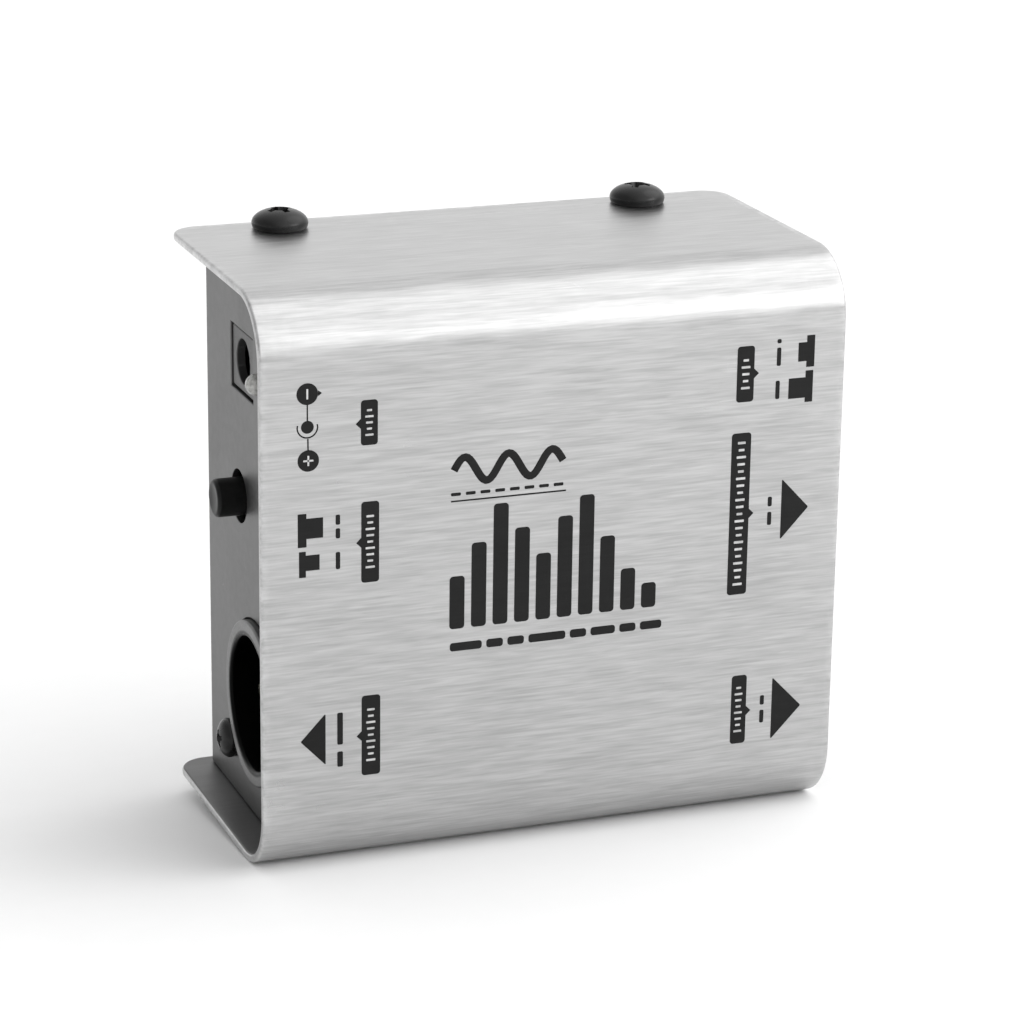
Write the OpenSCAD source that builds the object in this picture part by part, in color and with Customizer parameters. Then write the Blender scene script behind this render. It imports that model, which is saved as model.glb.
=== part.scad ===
// Direct injection box: a bent steel cover screwed over a steel chassis, with a male three-pin
// connector, a low-voltage inlet and a ground-lift button in the left end panel, and two jack
// sockets and an attenuator button in the right one. Millimetres, +Z up.
// Origin: bottom centre of the whole box, lower screw heads and rear feet included.
// X runs along the front face, and +Y is the rear, where the rubber feet are.

/* [Cover] */
// Width of the cover along the front face
cover_w = 84; // [78:1:130]
// Height of the cover between the outer faces of its flanges
cover_h = 81; // [80:1:120]
// Depth of the cover from the front face to the flanges' rear edge
cover_d = 44.5; // [43:0.5:70]
// Thickness of the cover's sheet
cover_t = 1.2; // [0.8:0.1:1.6]
// Outer radius of the cover's two bends
cover_bend_r = 9.1; // [4:0.1:12]
// Radius of the flanges' rear corners
flange_corner_r = 4; // [1:0.5:8]

/* [Chassis] */
// Thickness of the chassis's sheet
chassis_t = 1.2; // [0.8:0.1:1.6]
// Step from the cover's end down to the end panel's outer face
panel_inset = 4.9; // [4.5:0.1:9]
// Step from the flanges' rear edge down to the back plate
back_inset = 0.6; // [0:0.1:2]
// Gap between the cover and the chassis inside it
shell_gap = 0.2; // [0.1:0.05:0.5]
// Outer radius of the chassis's bends
chassis_bend_r = 2; // [1.7:0.1:4]
// Depth of the lips that take the cover screws
lip_depth = 10; // [9:0.5:14]
// Relief cut beside each lip
lip_relief = 1.2; // [0.8:0.1:2]

/* [Cover screws] */
// Distance between the two screws of one flange
cover_screw_pitch = 54; // [40:1:56]
// Distance from the flanges' rear edge to the screws
cover_screw_from_rear = 4.7; // [4:0.1:7]
// Thread diameter of the cover screws
cover_screw_d = 4; // [3:0.5:5]
// Head diameter of the cover screws
cover_screw_head_d = 8; // [6:0.1:9.5]
// Head height of the cover screws
cover_screw_head_h = 2.8; // [2:0.1:3.2]
// Length of the cover screws under the head
cover_screw_l = 8; // [6:0.5:10]

/* [Feet] */
// Diameter of a rubber foot
foot_d = 10; // [6:0.5:12]
// Thickness of a rubber foot
foot_h = 3; // [2.6:0.1:6]
// Distance from the cover's left or right end to a foot's centre
foot_from_end = 12.5; // [11:0.5:16]
// Distance from the cover's top or bottom to a foot's centre
foot_from_edge = 10; // [8.5:0.5:14]

/* [Circuit board] */
// Distance from the front face to the board's component side
board_y = 31.5; // [31:0.1:34]
// Thickness of the circuit board
board_t = 1.6; // [1:0.1:2]
// Gap between the board's edges and the chassis
board_gap = 1.8; // [1:0.1:3]
// Width across a standoff
standoff_d = 5.5; // [5:0.1:6]
// Thread diameter of the standoffs' screws
standoff_screw_d = 3; // [2.5:0.1:3.2]

/* [Output connector] */
// Distance from the front face to the connector's axis
xlr_y = 19.4; // [19.2:0.1:22]
// Height of the connector's axis above the lower flange
xlr_z = 18.5; // [17.5:0.1:19.5]
// Outer diameter of the connector's barrel
xlr_barrel_d = 23.6; // [22:0.1:24]
// Inner diameter of the connector's cup
xlr_cup_d = 19; // [18.6:0.1:19.4]
// How far the barrel's rim stands out of the end panel
xlr_rim_out = 1; // [0.5:0.1:3]
// Depth of the cup behind the rim
xlr_cup_depth = 16; // [14:0.5:18]
// Thickness of the insulating insert
xlr_insert_t = 5; // [4:0.5:7]
// Diameter of a contact pin
xlr_pin_d = 2.4; // [2.2:0.1:2.6]
// Diameter of the circle on which the pins stand
xlr_pin_circle_d = 9.9; // [9:0.1:11]
// Flange length from front to rear
xlr_flange_l = 31; // [30:0.5:32]
// Flange height
xlr_flange_h = 26; // [25:0.5:27]
// Screw spacing from front to rear
xlr_screw_dy = 24; // [23:0.5:25]
// Screw spacing in height
xlr_screw_dz = 19; // [18:0.5:20]
// Thread diameter of the connector's screws
xlr_screw_d = 3; // [2.5:0.1:3.2]

/* [Low-voltage inlet] */
// Distance from the cover's top to the inlet's axis
inlet_from_top = 14.8; // [14:0.1:16]
// Height of the inlet's axis above the board
inlet_above_board = 6.4; // [6:0.1:7]
// Diameter of the inlet's socket
inlet_bore_d = 6.3; // [5.5:0.1:6.5]
// Diameter of the inlet's centre pin
inlet_pin_d = 2.1; // [2:0.1:2.5]
// Width of the inlet's housing in height
inlet_w = 9; // [8.8:0.1:9.4]
// Length of the inlet's housing
inlet_l = 14; // [13:0.5:16]

/* [Power lamp] */
// Diameter of the lamp's lens
lamp_d = 3; // [2.5:0.1:3.2]
// How far the lens stands out of the end panel
lamp_out = 1.8; // [1.5:0.1:2.5]
// Distance from the front face to the lamp's axis
lamp_y = 17; // [16:0.1:17.2]
// Distance from the cover's top to the lamp's axis
lamp_from_top = 15.8; // [15:0.1:18]

/* [Push switches] */
// Height of the ground switch's axis above the lower flange
ground_switch_z = 46.5; // [45:0.5:50]
// Distance from the cover's top to the attenuator switch's axis
pad_switch_from_top = 15.3; // [14:0.1:18]
// Height of a switch's axis above the board
switch_above_board = 4.6; // [4.3:0.1:6]
// Width of a switch's body
switch_w = 8.4; // [8:0.1:9]
// Length of a switch's body
switch_l = 11; // [10:0.5:13]
// Distance from the end panel's outer face to the switch's body
switch_set_back = 4.7; // [4.5:0.1:6]
// Diameter of a button
button_d = 5.4; // [4.8:0.1:6.6]
// How far a button stands out of the end panel when released
button_out = 3.7; // [3.5:0.1:4.4]
// Travel of a button
button_travel = 2.5; // [1.5:0.1:2.7]
// Gap around a button in its hole
button_gap = 1.1; // [0.4:0.1:1.5]
// Diameter of a plunger's stem
stem_d = 3.4; // [3:0.1:3.6]
// Diameter of a return spring, outside
spring_d = 5; // [4.8:0.1:5.2]
// Diameter of the return spring's wire
spring_wire_d = 0.4; // [0.3:0.05:0.5]

/* [Jack sockets] */
// Height of the input jack's axis above the lower flange
input_jack_z = 16.1; // [15:0.1:17]
// Height of the link jack's axis above the lower flange
link_jack_z = 45.7; // [44:0.1:47]
// Height of a jack's axis above the board
jack_above_board = 10; // [9.5:0.1:11]
// Bore for the plug
jack_bore_d = 6.5; // [6.4:0.05:6.6]
// Thread diameter of the bushing
jack_thread_d = 11.8; // [11:0.1:14.2]
// How far the bushing stands out of the end panel
jack_out = 3.8; // [3.4:0.1:4.4]
// Width of a jack's body
jack_w = 15.6; // [15:0.1:17]
// Length of a jack's body
jack_l = 29; // [28.6:0.1:31]

/* [Fits] */
// Radial gap of a sliding plunger in its guide
run_gap = 0.05; // [0.03:0.01:0.1]
// Radial gap of a piece seated in a hole
seat_gap = 0.02; // [0.01:0.01:0.05]
// Radial gap of a screw in a clearance hole
screw_gap = 0.2; // [0.1:0.05:0.4]

/* [Hidden] */
$fn = 64;
// How far a cutting body runs past what it cuts, and how far joined bodies overlap
cut = 0.5;
lap = 0.1;

left = -1;
right = 1;

// Planes and edges, in the box's own coordinates: X centred, Y from the front face,
// Z from the lower flange's underside.
end_x = cover_w / 2;
panel_x = end_x - panel_inset;
panel_in_x = panel_x - chassis_t;
chassis_z0 = cover_t + shell_gap;
chassis_z1 = cover_h - chassis_z0;
chassis_front = cover_t + shell_gap;
back_y = cover_d - back_inset;
back_in_y = back_y - chassis_t;
total_d = back_y + foot_h;
board_back = board_y + board_t;
panel_edge_r = max(0.5, cover_bend_r - cover_t - shell_gap);

cover_screw_x = cover_screw_pitch / 2;
cover_screw_y = cover_d - cover_screw_from_rear;
lip_half = panel_in_x - chassis_bend_r;

inlet_z = cover_h - inlet_from_top;
inlet_y = board_y - inlet_above_board;
inlet_nose_below = 4.8;
inlet_nose_above = 5;
inlet_nose_half = 4.3;
inlet_nose_set = 0.3;
inlet_pin_set = 1.4;
inlet_socket_depth = 10;
inlet_window_gap = 0.6;
inlet_contact_w = -inlet_socket_depth + 1.8;
inlet_tail_w = -inlet_l - 0.6;

lamp_z = cover_h - lamp_from_top;
lamp_rim_d = lamp_d + 0.8;
lamp_rim_t = 1;
lamp_body_l = 2.4;
lamp_lead_d = 0.6;
lamp_lead_pitch = 2.54;
lamp_lead_drop = 5.6;
lamp_lead_run = 1.8;
lamp_back_x = -panel_x + chassis_t + lamp_body_l;

pad_switch_z = cover_h - pad_switch_from_top;
switch_y = board_y - switch_above_board;
switch_front_t = 2.5;
switch_rear_t = 1.5;
switch_above = 3.6;
chamber_d = spring_d + 0.8;
collar_d = spring_d + 0.4;
collar_t = 1;
collar_gap = 0.3;
tail_d = 2;
tail_out = 0.6;
switch_leg_pitch = 2.5;
cap_clear = 0.6;
cap_l = button_out + switch_set_back - button_travel - cap_clear;
cap_socket_l = 3;
cap_crown_r = 0.6;
stem_in_cap = 2.8;
spring_turns = 5;
spring_steps = 14;
spring_sides = 6;

jack_y = board_y - jack_above_board;
jack_above = 8.2;
jack_wall = 2;
jack_seat_depth = 7;
jack_seat_d = 10;
jack_window_end = 1.5;
washer_d = jack_thread_d + 3.2;
washer_t = 0.6;
nut_af = jack_thread_d + 2.2;
nut_t = 2.2;
blade_t = 0.4;
blade_w = 3;
jack_leg_pitch = 6;
jack_leg_row = 10;

leg_d = 0.7;
leg_hole_d = 1;
leg_tail = 1.2;

screw_recess_share = 0.5;
small_head_per_d = 1.9;
small_head_h_per_d = 0.73;
small_nut_af_per_d = 1.83;
small_nut_t_per_d = 0.8;
standoff_grip = 4;
xlr_screw_l = 7;
xlr_depth = xlr_cup_depth - xlr_rim_out + xlr_insert_t;
xlr_flange_t = 1.6;
xlr_flange_r = 3;
xlr_cup_cut_w = 2.4;
xlr_cup_cut_l = 6;
xlr_cup_cut_depth = 1;
xlr_pin_l = 13;
solder_cup_l = 5;
wire_d = 1.3;
wire_bend_r = 2.4;
wire_in_cup = 3.8;
wire_run = 1.2;

// The board stops short of the output connector, which is deeper than the board allows.
notch_x = -panel_x + xlr_depth + solder_cup_l + 1.6;
notch_z = xlr_z + xlr_flange_h / 2 + 2;
board_half = panel_in_x - board_gap;
board_z0 = chassis_z0 + chassis_t + board_gap;
board_z1 = cover_h - board_z0;

standoff_x = 18;
standoff_from_edge = 8;
standoff_places = [
    [-standoff_x, cover_h - standoff_from_edge],
    [standoff_x, cover_h - standoff_from_edge],
    [board_half - 4.2, (input_jack_z + link_jack_z) / 2],
    [notch_x + 4.6, standoff_from_edge]
];

// Electronic parts on the board, as distances from the board's middle line and lower flange.
chip_l = 9.4;
chip_w = 6.4;
chip_h = 3.4;
chip_pitch = 2.54;
chip_row = 7.62;
chip_places = [[-9, 45], [-9, 60]];
can_d = 6.3;
can_h = 11;
can_lead_pitch = 2.5;
can_places = [[-22, 55.5], [0, 68], [-2, 32], [-2, 22]];
film_l = 7.2;
film_w = 2.6;
film_h = 6.6;
film_pitch = 5;
film_edge_r = 0.5;
film_places = [[8, 60], [17, 60], [-27, 37.5]];
transistor_d = 4.6;
transistor_h = 4.8;
transistor_pitch = 1.27;
transistor_places = [[0, 43], [0, 51]];
resistor_d = 2.4;
resistor_l = 6.3;
resistor_pitch = 10.16;
resistor_up = 0.6;
resistor_places = [[-16, 35.6], [-18, 39.6], [-17, 67], [12, 65], [12, 69], [15, 28.5], [15, 33.5]];

// ---------------------------------------------------------------- placing

module in_row() {
    translate([0, -total_d / 2, cover_screw_head_h]) children();
}

// On an end panel: local Z points out of the box from the panel's outer face, local Y is the
// rear, and side is left or right.
module on_panel(side, y, z) {
    in_row() translate([side * panel_x, y, z]) rotate([0, side * 90, 0]) children();
}

// On the board's component side: local Z points to the rear, through the board.
module on_board(place) {
    in_row() translate([place[0], board_y, place[1]]) rotate([-90, 0, 0]) children();
}

// ---------------------------------------------------------------- shapes

module tube(outer_d, inner_d, h) {
    difference() {
        cylinder(d = outer_d, h = h);
        translate([0, 0, -cut]) cylinder(d = inner_d, h = h + 2 * cut);
    }
}

module hexagon(across_flats, h) {
    cylinder(d = across_flats / cos(30), h = h, $fn = 6);
}

module rounded_plate(l, w, t, r) {
    linear_extrude(t) {
        square([l - 2 * r, w], center = true);
        square([l, w - 2 * r], center = true);
        for (x = [-1, 1], y = [-1, 1]) translate([x * (l / 2 - r), y * (w / 2 - r)]) circle(r);
    }
}

// A side outline, front edge at x = 0 with its two corners rounded.
module front_rounded(d, h, r) {
    translate([r, 0]) square([d - r, h]);
    translate([0, r]) square([d, h - 2 * r]);
    translate([r, r]) circle(r);
    translate([r, h - r]) circle(r);
}

// The same outline with its rear corners rounded.
module rear_rounded(d, h, r) {
    translate([d, 0]) mirror([1, 0]) front_rounded(d, h, r);
}

// Extrudes a side outline, drawn from the front and from the bottom, across the box.
module across(half) {
    translate([-half, 0, 0]) rotate([90, 0, 90]) linear_extrude(2 * half) children();
}

// A block seen from above: its front edge is at Y = 0 and its two rear corners are rounded.
module plan_block(depth, half, h, r) {
    rotate([0, 0, 90]) translate([0, -half, 0]) linear_extrude(h) rear_rounded(depth, 2 * half, r);
}

// A pan head standing on Z = 0 with a cross recess.
module pan_head(d, h) {
    rim = 0.42 * h;
    dome_r = 1.15 * d;
    flat_sag = 0.04 * h;
    slot_w = 0.12 * d;
    slot_l = screw_recess_share * d;
    slot_h = 0.55 * h;
    difference() {
        rotate_extrude() intersection() {
            union() {
                square([d / 2 - rim, h]);
                square([d / 2, h - rim]);
                translate([d / 2 - rim, h - rim]) circle(rim);
            }
            translate([0, h + flat_sag - dome_r]) circle(dome_r, $fn = 128);
            square([d, 2 * h]);
        }
        for (a = [0, 90]) rotate([0, 0, a]) translate([-slot_l / 2, -slot_w / 2, h - slot_h])
            cube([slot_l, slot_w, h]);
        translate([0, 0, h - slot_h])
            cylinder(d1 = 1.4 * slot_w, d2 = 2.6 * slot_w, h = slot_h + lap);
    }
}

// A pan-head screw: the head stands on Z = 0 and the shank runs down.
module pan_screw(d, l, head_d, head_h) {
    tip = 0.15 * d;
    pan_head(head_d, head_h);
    translate([0, 0, -l + tip]) cylinder(d = d, h = l - tip);
    translate([0, 0, -l]) cylinder(d1 = d - 2 * tip, d2 = d, h = tip);
}

// A small pan-head screw whose head follows its thread.
module small_screw(d, l) {
    pan_screw(d, l, small_head_per_d * d, small_head_h_per_d * d);
}

// A round wire along a helix about Z, from z = 0 to z = h.
module helix(turns, mean_r, wire_d, h) {
    steps = turns * spring_steps;
    points = [
        for (i = [0 : steps], k = [0 : spring_sides - 1])
            let (a = 360 * i / spring_steps, b = 360 * k / spring_sides,
                 r = mean_r + wire_d / 2 * cos(b))
            [r * cos(a), r * sin(a), h * i / steps + wire_d / 2 * sin(b)]
    ];
    walls = [
        for (i = [0 : steps - 1], k = [0 : spring_sides - 1])
            let (n = spring_sides, k2 = (k + 1) % n)
            [i * n + k, i * n + k2, (i + 1) * n + k2, (i + 1) * n + k]
    ];
    first = [for (k = [spring_sides - 1 : -1 : 0]) k];
    last = [for (k = [0 : spring_sides - 1]) steps * spring_sides + k];
    polyhedron(points = points, faces = concat(walls, [first, last]), convexity = 10);
}

// Straight legs from the board's component side through the board.
module legs(points) {
    for (p = points) translate([p[0], p[1], 0]) round_leg(board_t + leg_tail);
}

module round_leg(h) {
    cylinder(d = leg_d, h = h, $fn = 24);
}

// The same legs at [x, z] points of the box.
module legs_at(places) {
    in_row() for (p = places) translate([p[0], board_y, p[1]]) rotate([-90, 0, 0])
        round_leg(board_t + leg_tail);
}

// ---------------------------------------------------------------- leg places
// Each list holds [x, z] points in the box's own coordinates.

function around(place, offsets) = [for (o = offsets) [place[0] + o[0], place[1] + o[1]]];

chip_offsets = [for (i = [-1.5 : 1.5], s = [-1, 1]) [i * chip_pitch, s * chip_row / 2]];
pair_offsets = [for (s = [-1, 1]) [s * can_lead_pitch / 2, 0]];
film_offsets = [for (s = [-1, 1]) [s * film_pitch / 2, 0]];
resistor_offsets = [for (s = [-1, 1]) [s * resistor_pitch / 2, 0]];
transistor_offsets = [for (i = [-1 : 1]) [i * transistor_pitch, 0]];
switch_offsets = [for (i = [-1 : 1], s = [-1, 1]) [i * switch_leg_pitch, s * switch_leg_pitch]];
jack_leg_offsets = [for (i = [-1 : 1], s = [-1, 1]) [i * jack_leg_pitch, s * jack_leg_row / 2]];

function switch_middle(side, z) = [side * (panel_x - switch_set_back - switch_l / 2), z];
function jack_middle(z) = [panel_in_x - jack_l / 2, z];
inlet_leg_places = [for (w = [inlet_contact_w, inlet_tail_w]) [-panel_x - w, inlet_z]];
lamp_leg_places = [
    for (i = [0, 1]) [lamp_back_x + lamp_lead_run + i * lamp_lead_pitch, lamp_z - lamp_lead_drop]
];
wire_x = -panel_x + xlr_depth + solder_cup_l + wire_run + wire_bend_r;
pin_places = [
    for (a = [0, 90, 180]) [xlr_pin_circle_d / 2 * cos(a), xlr_pin_circle_d / 2 * sin(a)]
];
wire_leg_places = [for (p = pin_places) [wire_x, xlr_z + p[0]]];

all_leg_places = concat(
    [for (c = chip_places) each around(c, chip_offsets)],
    [for (c = can_places) each around(c, pair_offsets)],
    [for (c = film_places) each around(c, film_offsets)],
    [for (c = transistor_places) each around(c, transistor_offsets)],
    [for (c = resistor_places) each around(c, resistor_offsets)],
    around(switch_middle(left, ground_switch_z), switch_offsets),
    around(switch_middle(right, pad_switch_z), switch_offsets),
    inlet_leg_places,
    around(jack_middle(input_jack_z), jack_leg_offsets),
    around(jack_middle(link_jack_z), jack_leg_offsets),
    lamp_leg_places,
    wire_leg_places
);

// ---------------------------------------------------------------- shell

module cover() {
    color([0.78, 0.78, 0.78]) in_row() difference() {
        intersection() {
            across(end_x) difference() {
                front_rounded(cover_d, cover_h, cover_bend_r);
                translate([cover_t, cover_t])
                    front_rounded(cover_d, cover_h - 2 * cover_t, cover_bend_r - cover_t);
            }
            translate([0, -cut, 0]) plan_block(cover_d + cut, end_x, cover_h, flange_corner_r);
        }
        for (x = [-1, 1]) translate([x * cover_screw_x, cover_screw_y, -cut])
            cylinder(d = cover_screw_d + 2 * screw_gap, h = cover_h + 2 * cut);
    }
}

module chassis_lips() {
    across(lip_half) difference() {
        translate([back_y - lip_depth, chassis_z0])
            rear_rounded(lip_depth, chassis_z1 - chassis_z0, chassis_bend_r);
        translate([back_y - lip_depth - cut, chassis_z0 + chassis_t])
            rear_rounded(lip_depth - chassis_t + cut, chassis_z1 - chassis_z0 - 2 * chassis_t,
                chassis_bend_r - chassis_t);
    }
}

module chassis_walls() {
    h = chassis_z1 - chassis_z0;
    wall_d = back_y - chassis_front;
    translate([0, chassis_front, chassis_z0]) intersection() {
        difference() {
            plan_block(wall_d, panel_x, h, chassis_bend_r);
            translate([0, -cut, -cut])
                plan_block(back_in_y - chassis_front + cut, panel_in_x, h + 2 * cut,
                    chassis_bend_r - chassis_t);
        }
        across(panel_x + cut) front_rounded(wall_d + cut, h, panel_edge_r);
    }
}

module chassis() {
    relief = lip_half + lip_relief;
    color([0.55, 0.55, 0.55]) difference() {
        in_row() {
            difference() {
                chassis_walls();
                for (z = [chassis_z0, chassis_z1])
                    translate([-relief, back_y - chassis_bend_r - cut, z - chassis_bend_r])
                        cube([2 * relief, chassis_bend_r + 2 * cut, 2 * chassis_bend_r]);
            }
            chassis_lips();
        }
        in_row() for (x = [-1, 1]) translate([x * cover_screw_x, cover_screw_y, -cut])
            cylinder(d = cover_screw_d + 2 * seat_gap, h = cover_h + 2 * cut);
        in_row() for (p = standoff_places) translate([p[0], back_in_y - cut, p[1]])
            rotate([-90, 0, 0])
                cylinder(d = standoff_screw_d + 2 * screw_gap, h = chassis_t + 2 * cut);
        panel_holes_left();
        panel_holes_right();
    }
}

module panel_hole(side, y, z, d) {
    on_panel(side, y, z) translate([0, 0, -chassis_t - cut]) cylinder(d = d, h = chassis_t + 2 * cut);
}

module panel_holes_left() {
    panel_hole(left, xlr_y, xlr_z, xlr_barrel_d + 2 * screw_gap);
    for (s = [-1, 1])
        panel_hole(left, xlr_y + s * xlr_screw_dy / 2, xlr_z - s * xlr_screw_dz / 2,
            xlr_screw_d + 2 * screw_gap);
    panel_hole(left, switch_y, ground_switch_z, button_d + 2 * button_gap);
    panel_hole(left, lamp_y, lamp_z, lamp_d + 2 * seat_gap);
    on_panel(left, inlet_y, inlet_z)
        translate([-inlet_nose_half - inlet_window_gap / 2, -inlet_nose_above - inlet_window_gap,
            -chassis_t - cut])
            cube([2 * inlet_nose_half + inlet_window_gap,
                inlet_nose_above + inlet_nose_below + 1.5 * inlet_window_gap, chassis_t + 2 * cut]);
}

module panel_holes_right() {
    panel_hole(right, switch_y, pad_switch_z, button_d + 2 * button_gap);
    for (z = [input_jack_z, link_jack_z])
        panel_hole(right, jack_y, z, jack_thread_d + 2 * screw_gap);
}

module cover_screws() {
    color([0.08, 0.08, 0.08]) in_row() for (x = [-1, 1]) {
        translate([x * cover_screw_x, cover_screw_y, cover_h])
            pan_screw(cover_screw_d, cover_screw_l, cover_screw_head_d, cover_screw_head_h);
        translate([x * cover_screw_x, cover_screw_y, 0]) rotate([180, 0, 0])
            pan_screw(cover_screw_d, cover_screw_l, cover_screw_head_d, cover_screw_head_h);
    }
}

module rubber_feet() {
    crown = 0.8;
    color([0.1, 0.1, 0.1]) in_row()
        for (x = [-1, 1], z = [foot_from_edge, cover_h - foot_from_edge])
            translate([x * (end_x - foot_from_end), back_y, z]) rotate([-90, 0, 0]) {
                cylinder(d = foot_d, h = foot_h - crown);
                translate([0, 0, foot_h - crown])
                    cylinder(d1 = foot_d, d2 = foot_d - 2 * crown, h = crown);
            }
}

// ---------------------------------------------------------------- output connector

module at_output() {
    on_panel(left, xlr_y, xlr_z) children();
}

module output_flange_holes() {
    for (s = [-1, 1]) translate([-s * xlr_screw_dz / 2, s * xlr_screw_dy / 2, 0]) children();
}

module output_shell() {
    color([0.6, 0.6, 0.6]) at_output() difference() {
        union() {
            translate([0, 0, -xlr_depth]) cylinder(d = xlr_barrel_d, h = xlr_depth + xlr_rim_out);
            translate([0, 0, -chassis_t - xlr_flange_t])
                rounded_plate(xlr_flange_h, xlr_flange_l, xlr_flange_t, xlr_flange_r);
        }
        translate([0, 0, -xlr_depth - cut])
            cylinder(d = xlr_cup_d, h = xlr_depth + xlr_rim_out + 2 * cut);
        translate([0, 0, -chassis_t - xlr_flange_t - cut]) output_flange_holes()
            cylinder(d = xlr_screw_d + 2 * screw_gap, h = xlr_flange_t + 2 * cut);
        // Notch in the cup's wall for the plug's latch, on the side of the front face.
        translate([-xlr_cup_cut_w / 2, -xlr_cup_d / 2 - xlr_cup_cut_depth, -xlr_cup_depth / 2])
            cube([xlr_cup_cut_w, 2 * xlr_cup_cut_depth, xlr_cup_cut_l]);
    }
}

module output_insert() {
    color([0.06, 0.06, 0.06]) at_output()
        translate([0, 0, -xlr_depth]) difference() {
            cylinder(d = xlr_cup_d - 2 * seat_gap, h = xlr_insert_t);
            for (p = pin_places) translate([p[0], p[1], -cut])
                cylinder(d = xlr_pin_d + 2 * seat_gap, h = xlr_insert_t + 2 * cut);
        }
}

module output_pin() {
    nose = 0.5;
    cup_floor = 1;
    floor_z = xlr_rim_out - xlr_cup_depth;
    translate([0, 0, -xlr_depth]) cylinder(d = xlr_pin_d, h = xlr_insert_t + xlr_pin_l - nose);
    translate([0, 0, floor_z + xlr_pin_l - nose])
        cylinder(d1 = xlr_pin_d, d2 = xlr_pin_d - 2 * nose, h = nose);
    translate([0, 0, -xlr_depth - solder_cup_l]) difference() {
        cylinder(d = xlr_pin_d, h = solder_cup_l);
        translate([0, 0, -cut]) cylinder(d = wire_d + 2 * seat_gap, h = solder_cup_l - cup_floor + cut);
    }
}

module output_pins() {
    color([0.75, 0.72, 0.6]) at_output() for (p = pin_places) translate([p[0], p[1], 0]) output_pin();
}

module output_screws() {
    color([0.08, 0.08, 0.08]) at_output() output_flange_holes()
        small_screw(xlr_screw_d, xlr_screw_l);
}

module output_nuts() {
    nut_t = small_nut_t_per_d * xlr_screw_d;
    color([0.6, 0.6, 0.6]) at_output() output_flange_holes()
        translate([0, 0, -chassis_t - xlr_flange_t - nut_t]) difference() {
            hexagon(small_nut_af_per_d * xlr_screw_d, nut_t);
            translate([0, 0, -cut]) cylinder(d = xlr_screw_d + 2 * seat_gap, h = nut_t + 2 * cut);
        }
}

// Each wire runs straight out of its solder cup, bends to the rear and ends in the board.
module output_wire(p) {
    start = -panel_x + xlr_depth + solder_cup_l - wire_in_cup;
    bend_start = wire_x - wire_bend_r;
    y = xlr_y + p[1];
    drop = board_y - y - wire_bend_r;
    translate([0, 0, xlr_z + p[0]]) {
        translate([start, y, 0]) rotate([0, 90, 0]) cylinder(d = wire_d, h = bend_start - start);
        translate([bend_start, y + wire_bend_r, 0]) rotate([0, 0, -90])
            rotate_extrude(angle = 90) translate([wire_bend_r, 0]) circle(d = wire_d);
        translate([wire_x, y + wire_bend_r, 0]) rotate([-90, 0, 0]) cylinder(d = wire_d, h = drop);
    }
}

module output_wires() {
    color([0.6, 0.1, 0.1]) {
        in_row() for (p = pin_places) output_wire(p);
        legs_at(wire_leg_places);
    }
}

// ---------------------------------------------------------------- low-voltage inlet and lamp

module at_inlet() {
    on_panel(left, inlet_y, inlet_z) children();
}

module inlet_housing() {
    slot_gap = 0.2;
    slot_l = 5;
    color([0.3, 0.3, 0.3]) at_inlet() difference() {
        union() {
            translate([-inlet_nose_half, -inlet_nose_above, -chassis_t - cut])
                cube([2 * inlet_nose_half, inlet_nose_above + inlet_nose_below,
                    chassis_t + cut - inlet_nose_set]);
            translate([-inlet_w / 2, -inlet_nose_above, -inlet_l])
                cube([inlet_w, inlet_nose_above + inlet_above_board,
                    inlet_l - chassis_t - inlet_nose_set]);
        }
        translate([0, 0, -inlet_nose_set - inlet_socket_depth])
            cylinder(d = inlet_bore_d, h = inlet_socket_depth + cut);
        translate([0, 0, -inlet_l - cut]) cylinder(d = inlet_pin_d + 2 * seat_gap, h = inlet_l);
        // Slot for the sleeve contact, open towards the board.
        translate([-blade_w / 2 - slot_gap, inlet_bore_d / 2 - 2 * slot_gap, -inlet_socket_depth + 1])
            cube([blade_w + 2 * slot_gap, inlet_above_board, slot_l]);
    }
}

module inlet_pin() {
    tip = 0.4;
    tail = 0.7;
    color([0.75, 0.75, 0.7]) at_inlet() {
        translate([0, 0, inlet_tail_w - tail])
            cylinder(d = inlet_pin_d, h = -inlet_tail_w + tail - inlet_pin_set - tip);
        translate([0, 0, -inlet_pin_set - tip])
            cylinder(d1 = inlet_pin_d, d2 = inlet_pin_d - 2 * tip, h = tip);
        translate([0, 0, inlet_tail_w]) inlet_leg();
    }
}

module inlet_leg() {
    rotate([-90, 0, 0]) round_leg(inlet_above_board + board_t + leg_tail);
}

// A leaf along the socket's wall, bent down to a leg through the board.
module inlet_contact() {
    gap = 0.3;
    leaf_l = 3.8;
    leaf_y = inlet_bore_d / 2 + gap;
    color([0.75, 0.75, 0.7]) at_inlet() {
        translate([-blade_w / 2, leaf_y, inlet_contact_w - blade_t / 2]) cube([blade_w, blade_t, leaf_l]);
        translate([-blade_w / 2, leaf_y, inlet_contact_w - blade_t / 2])
            cube([blade_w, inlet_above_board - leaf_y, blade_t]);
        translate([0, inlet_above_board - blade_t, inlet_contact_w]) rotate([-90, 0, 0])
            round_leg(board_t + leg_tail + blade_t);
    }
}

module power_lamp() {
    color([0.85, 0.85, 0.8]) on_panel(left, lamp_y, lamp_z) {
        translate([0, 0, lamp_out - lamp_d / 2]) intersection() {
            sphere(d = lamp_d);
            cylinder(d = 2 * lamp_d, h = lamp_d);
        }
        translate([0, 0, -chassis_t - lamp_body_l])
            cylinder(d = lamp_d, h = chassis_t + lamp_body_l + lamp_out - lamp_d / 2);
        translate([0, 0, -chassis_t - lamp_rim_t]) cylinder(d = lamp_rim_d, h = lamp_rim_t);
    }
}

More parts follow.
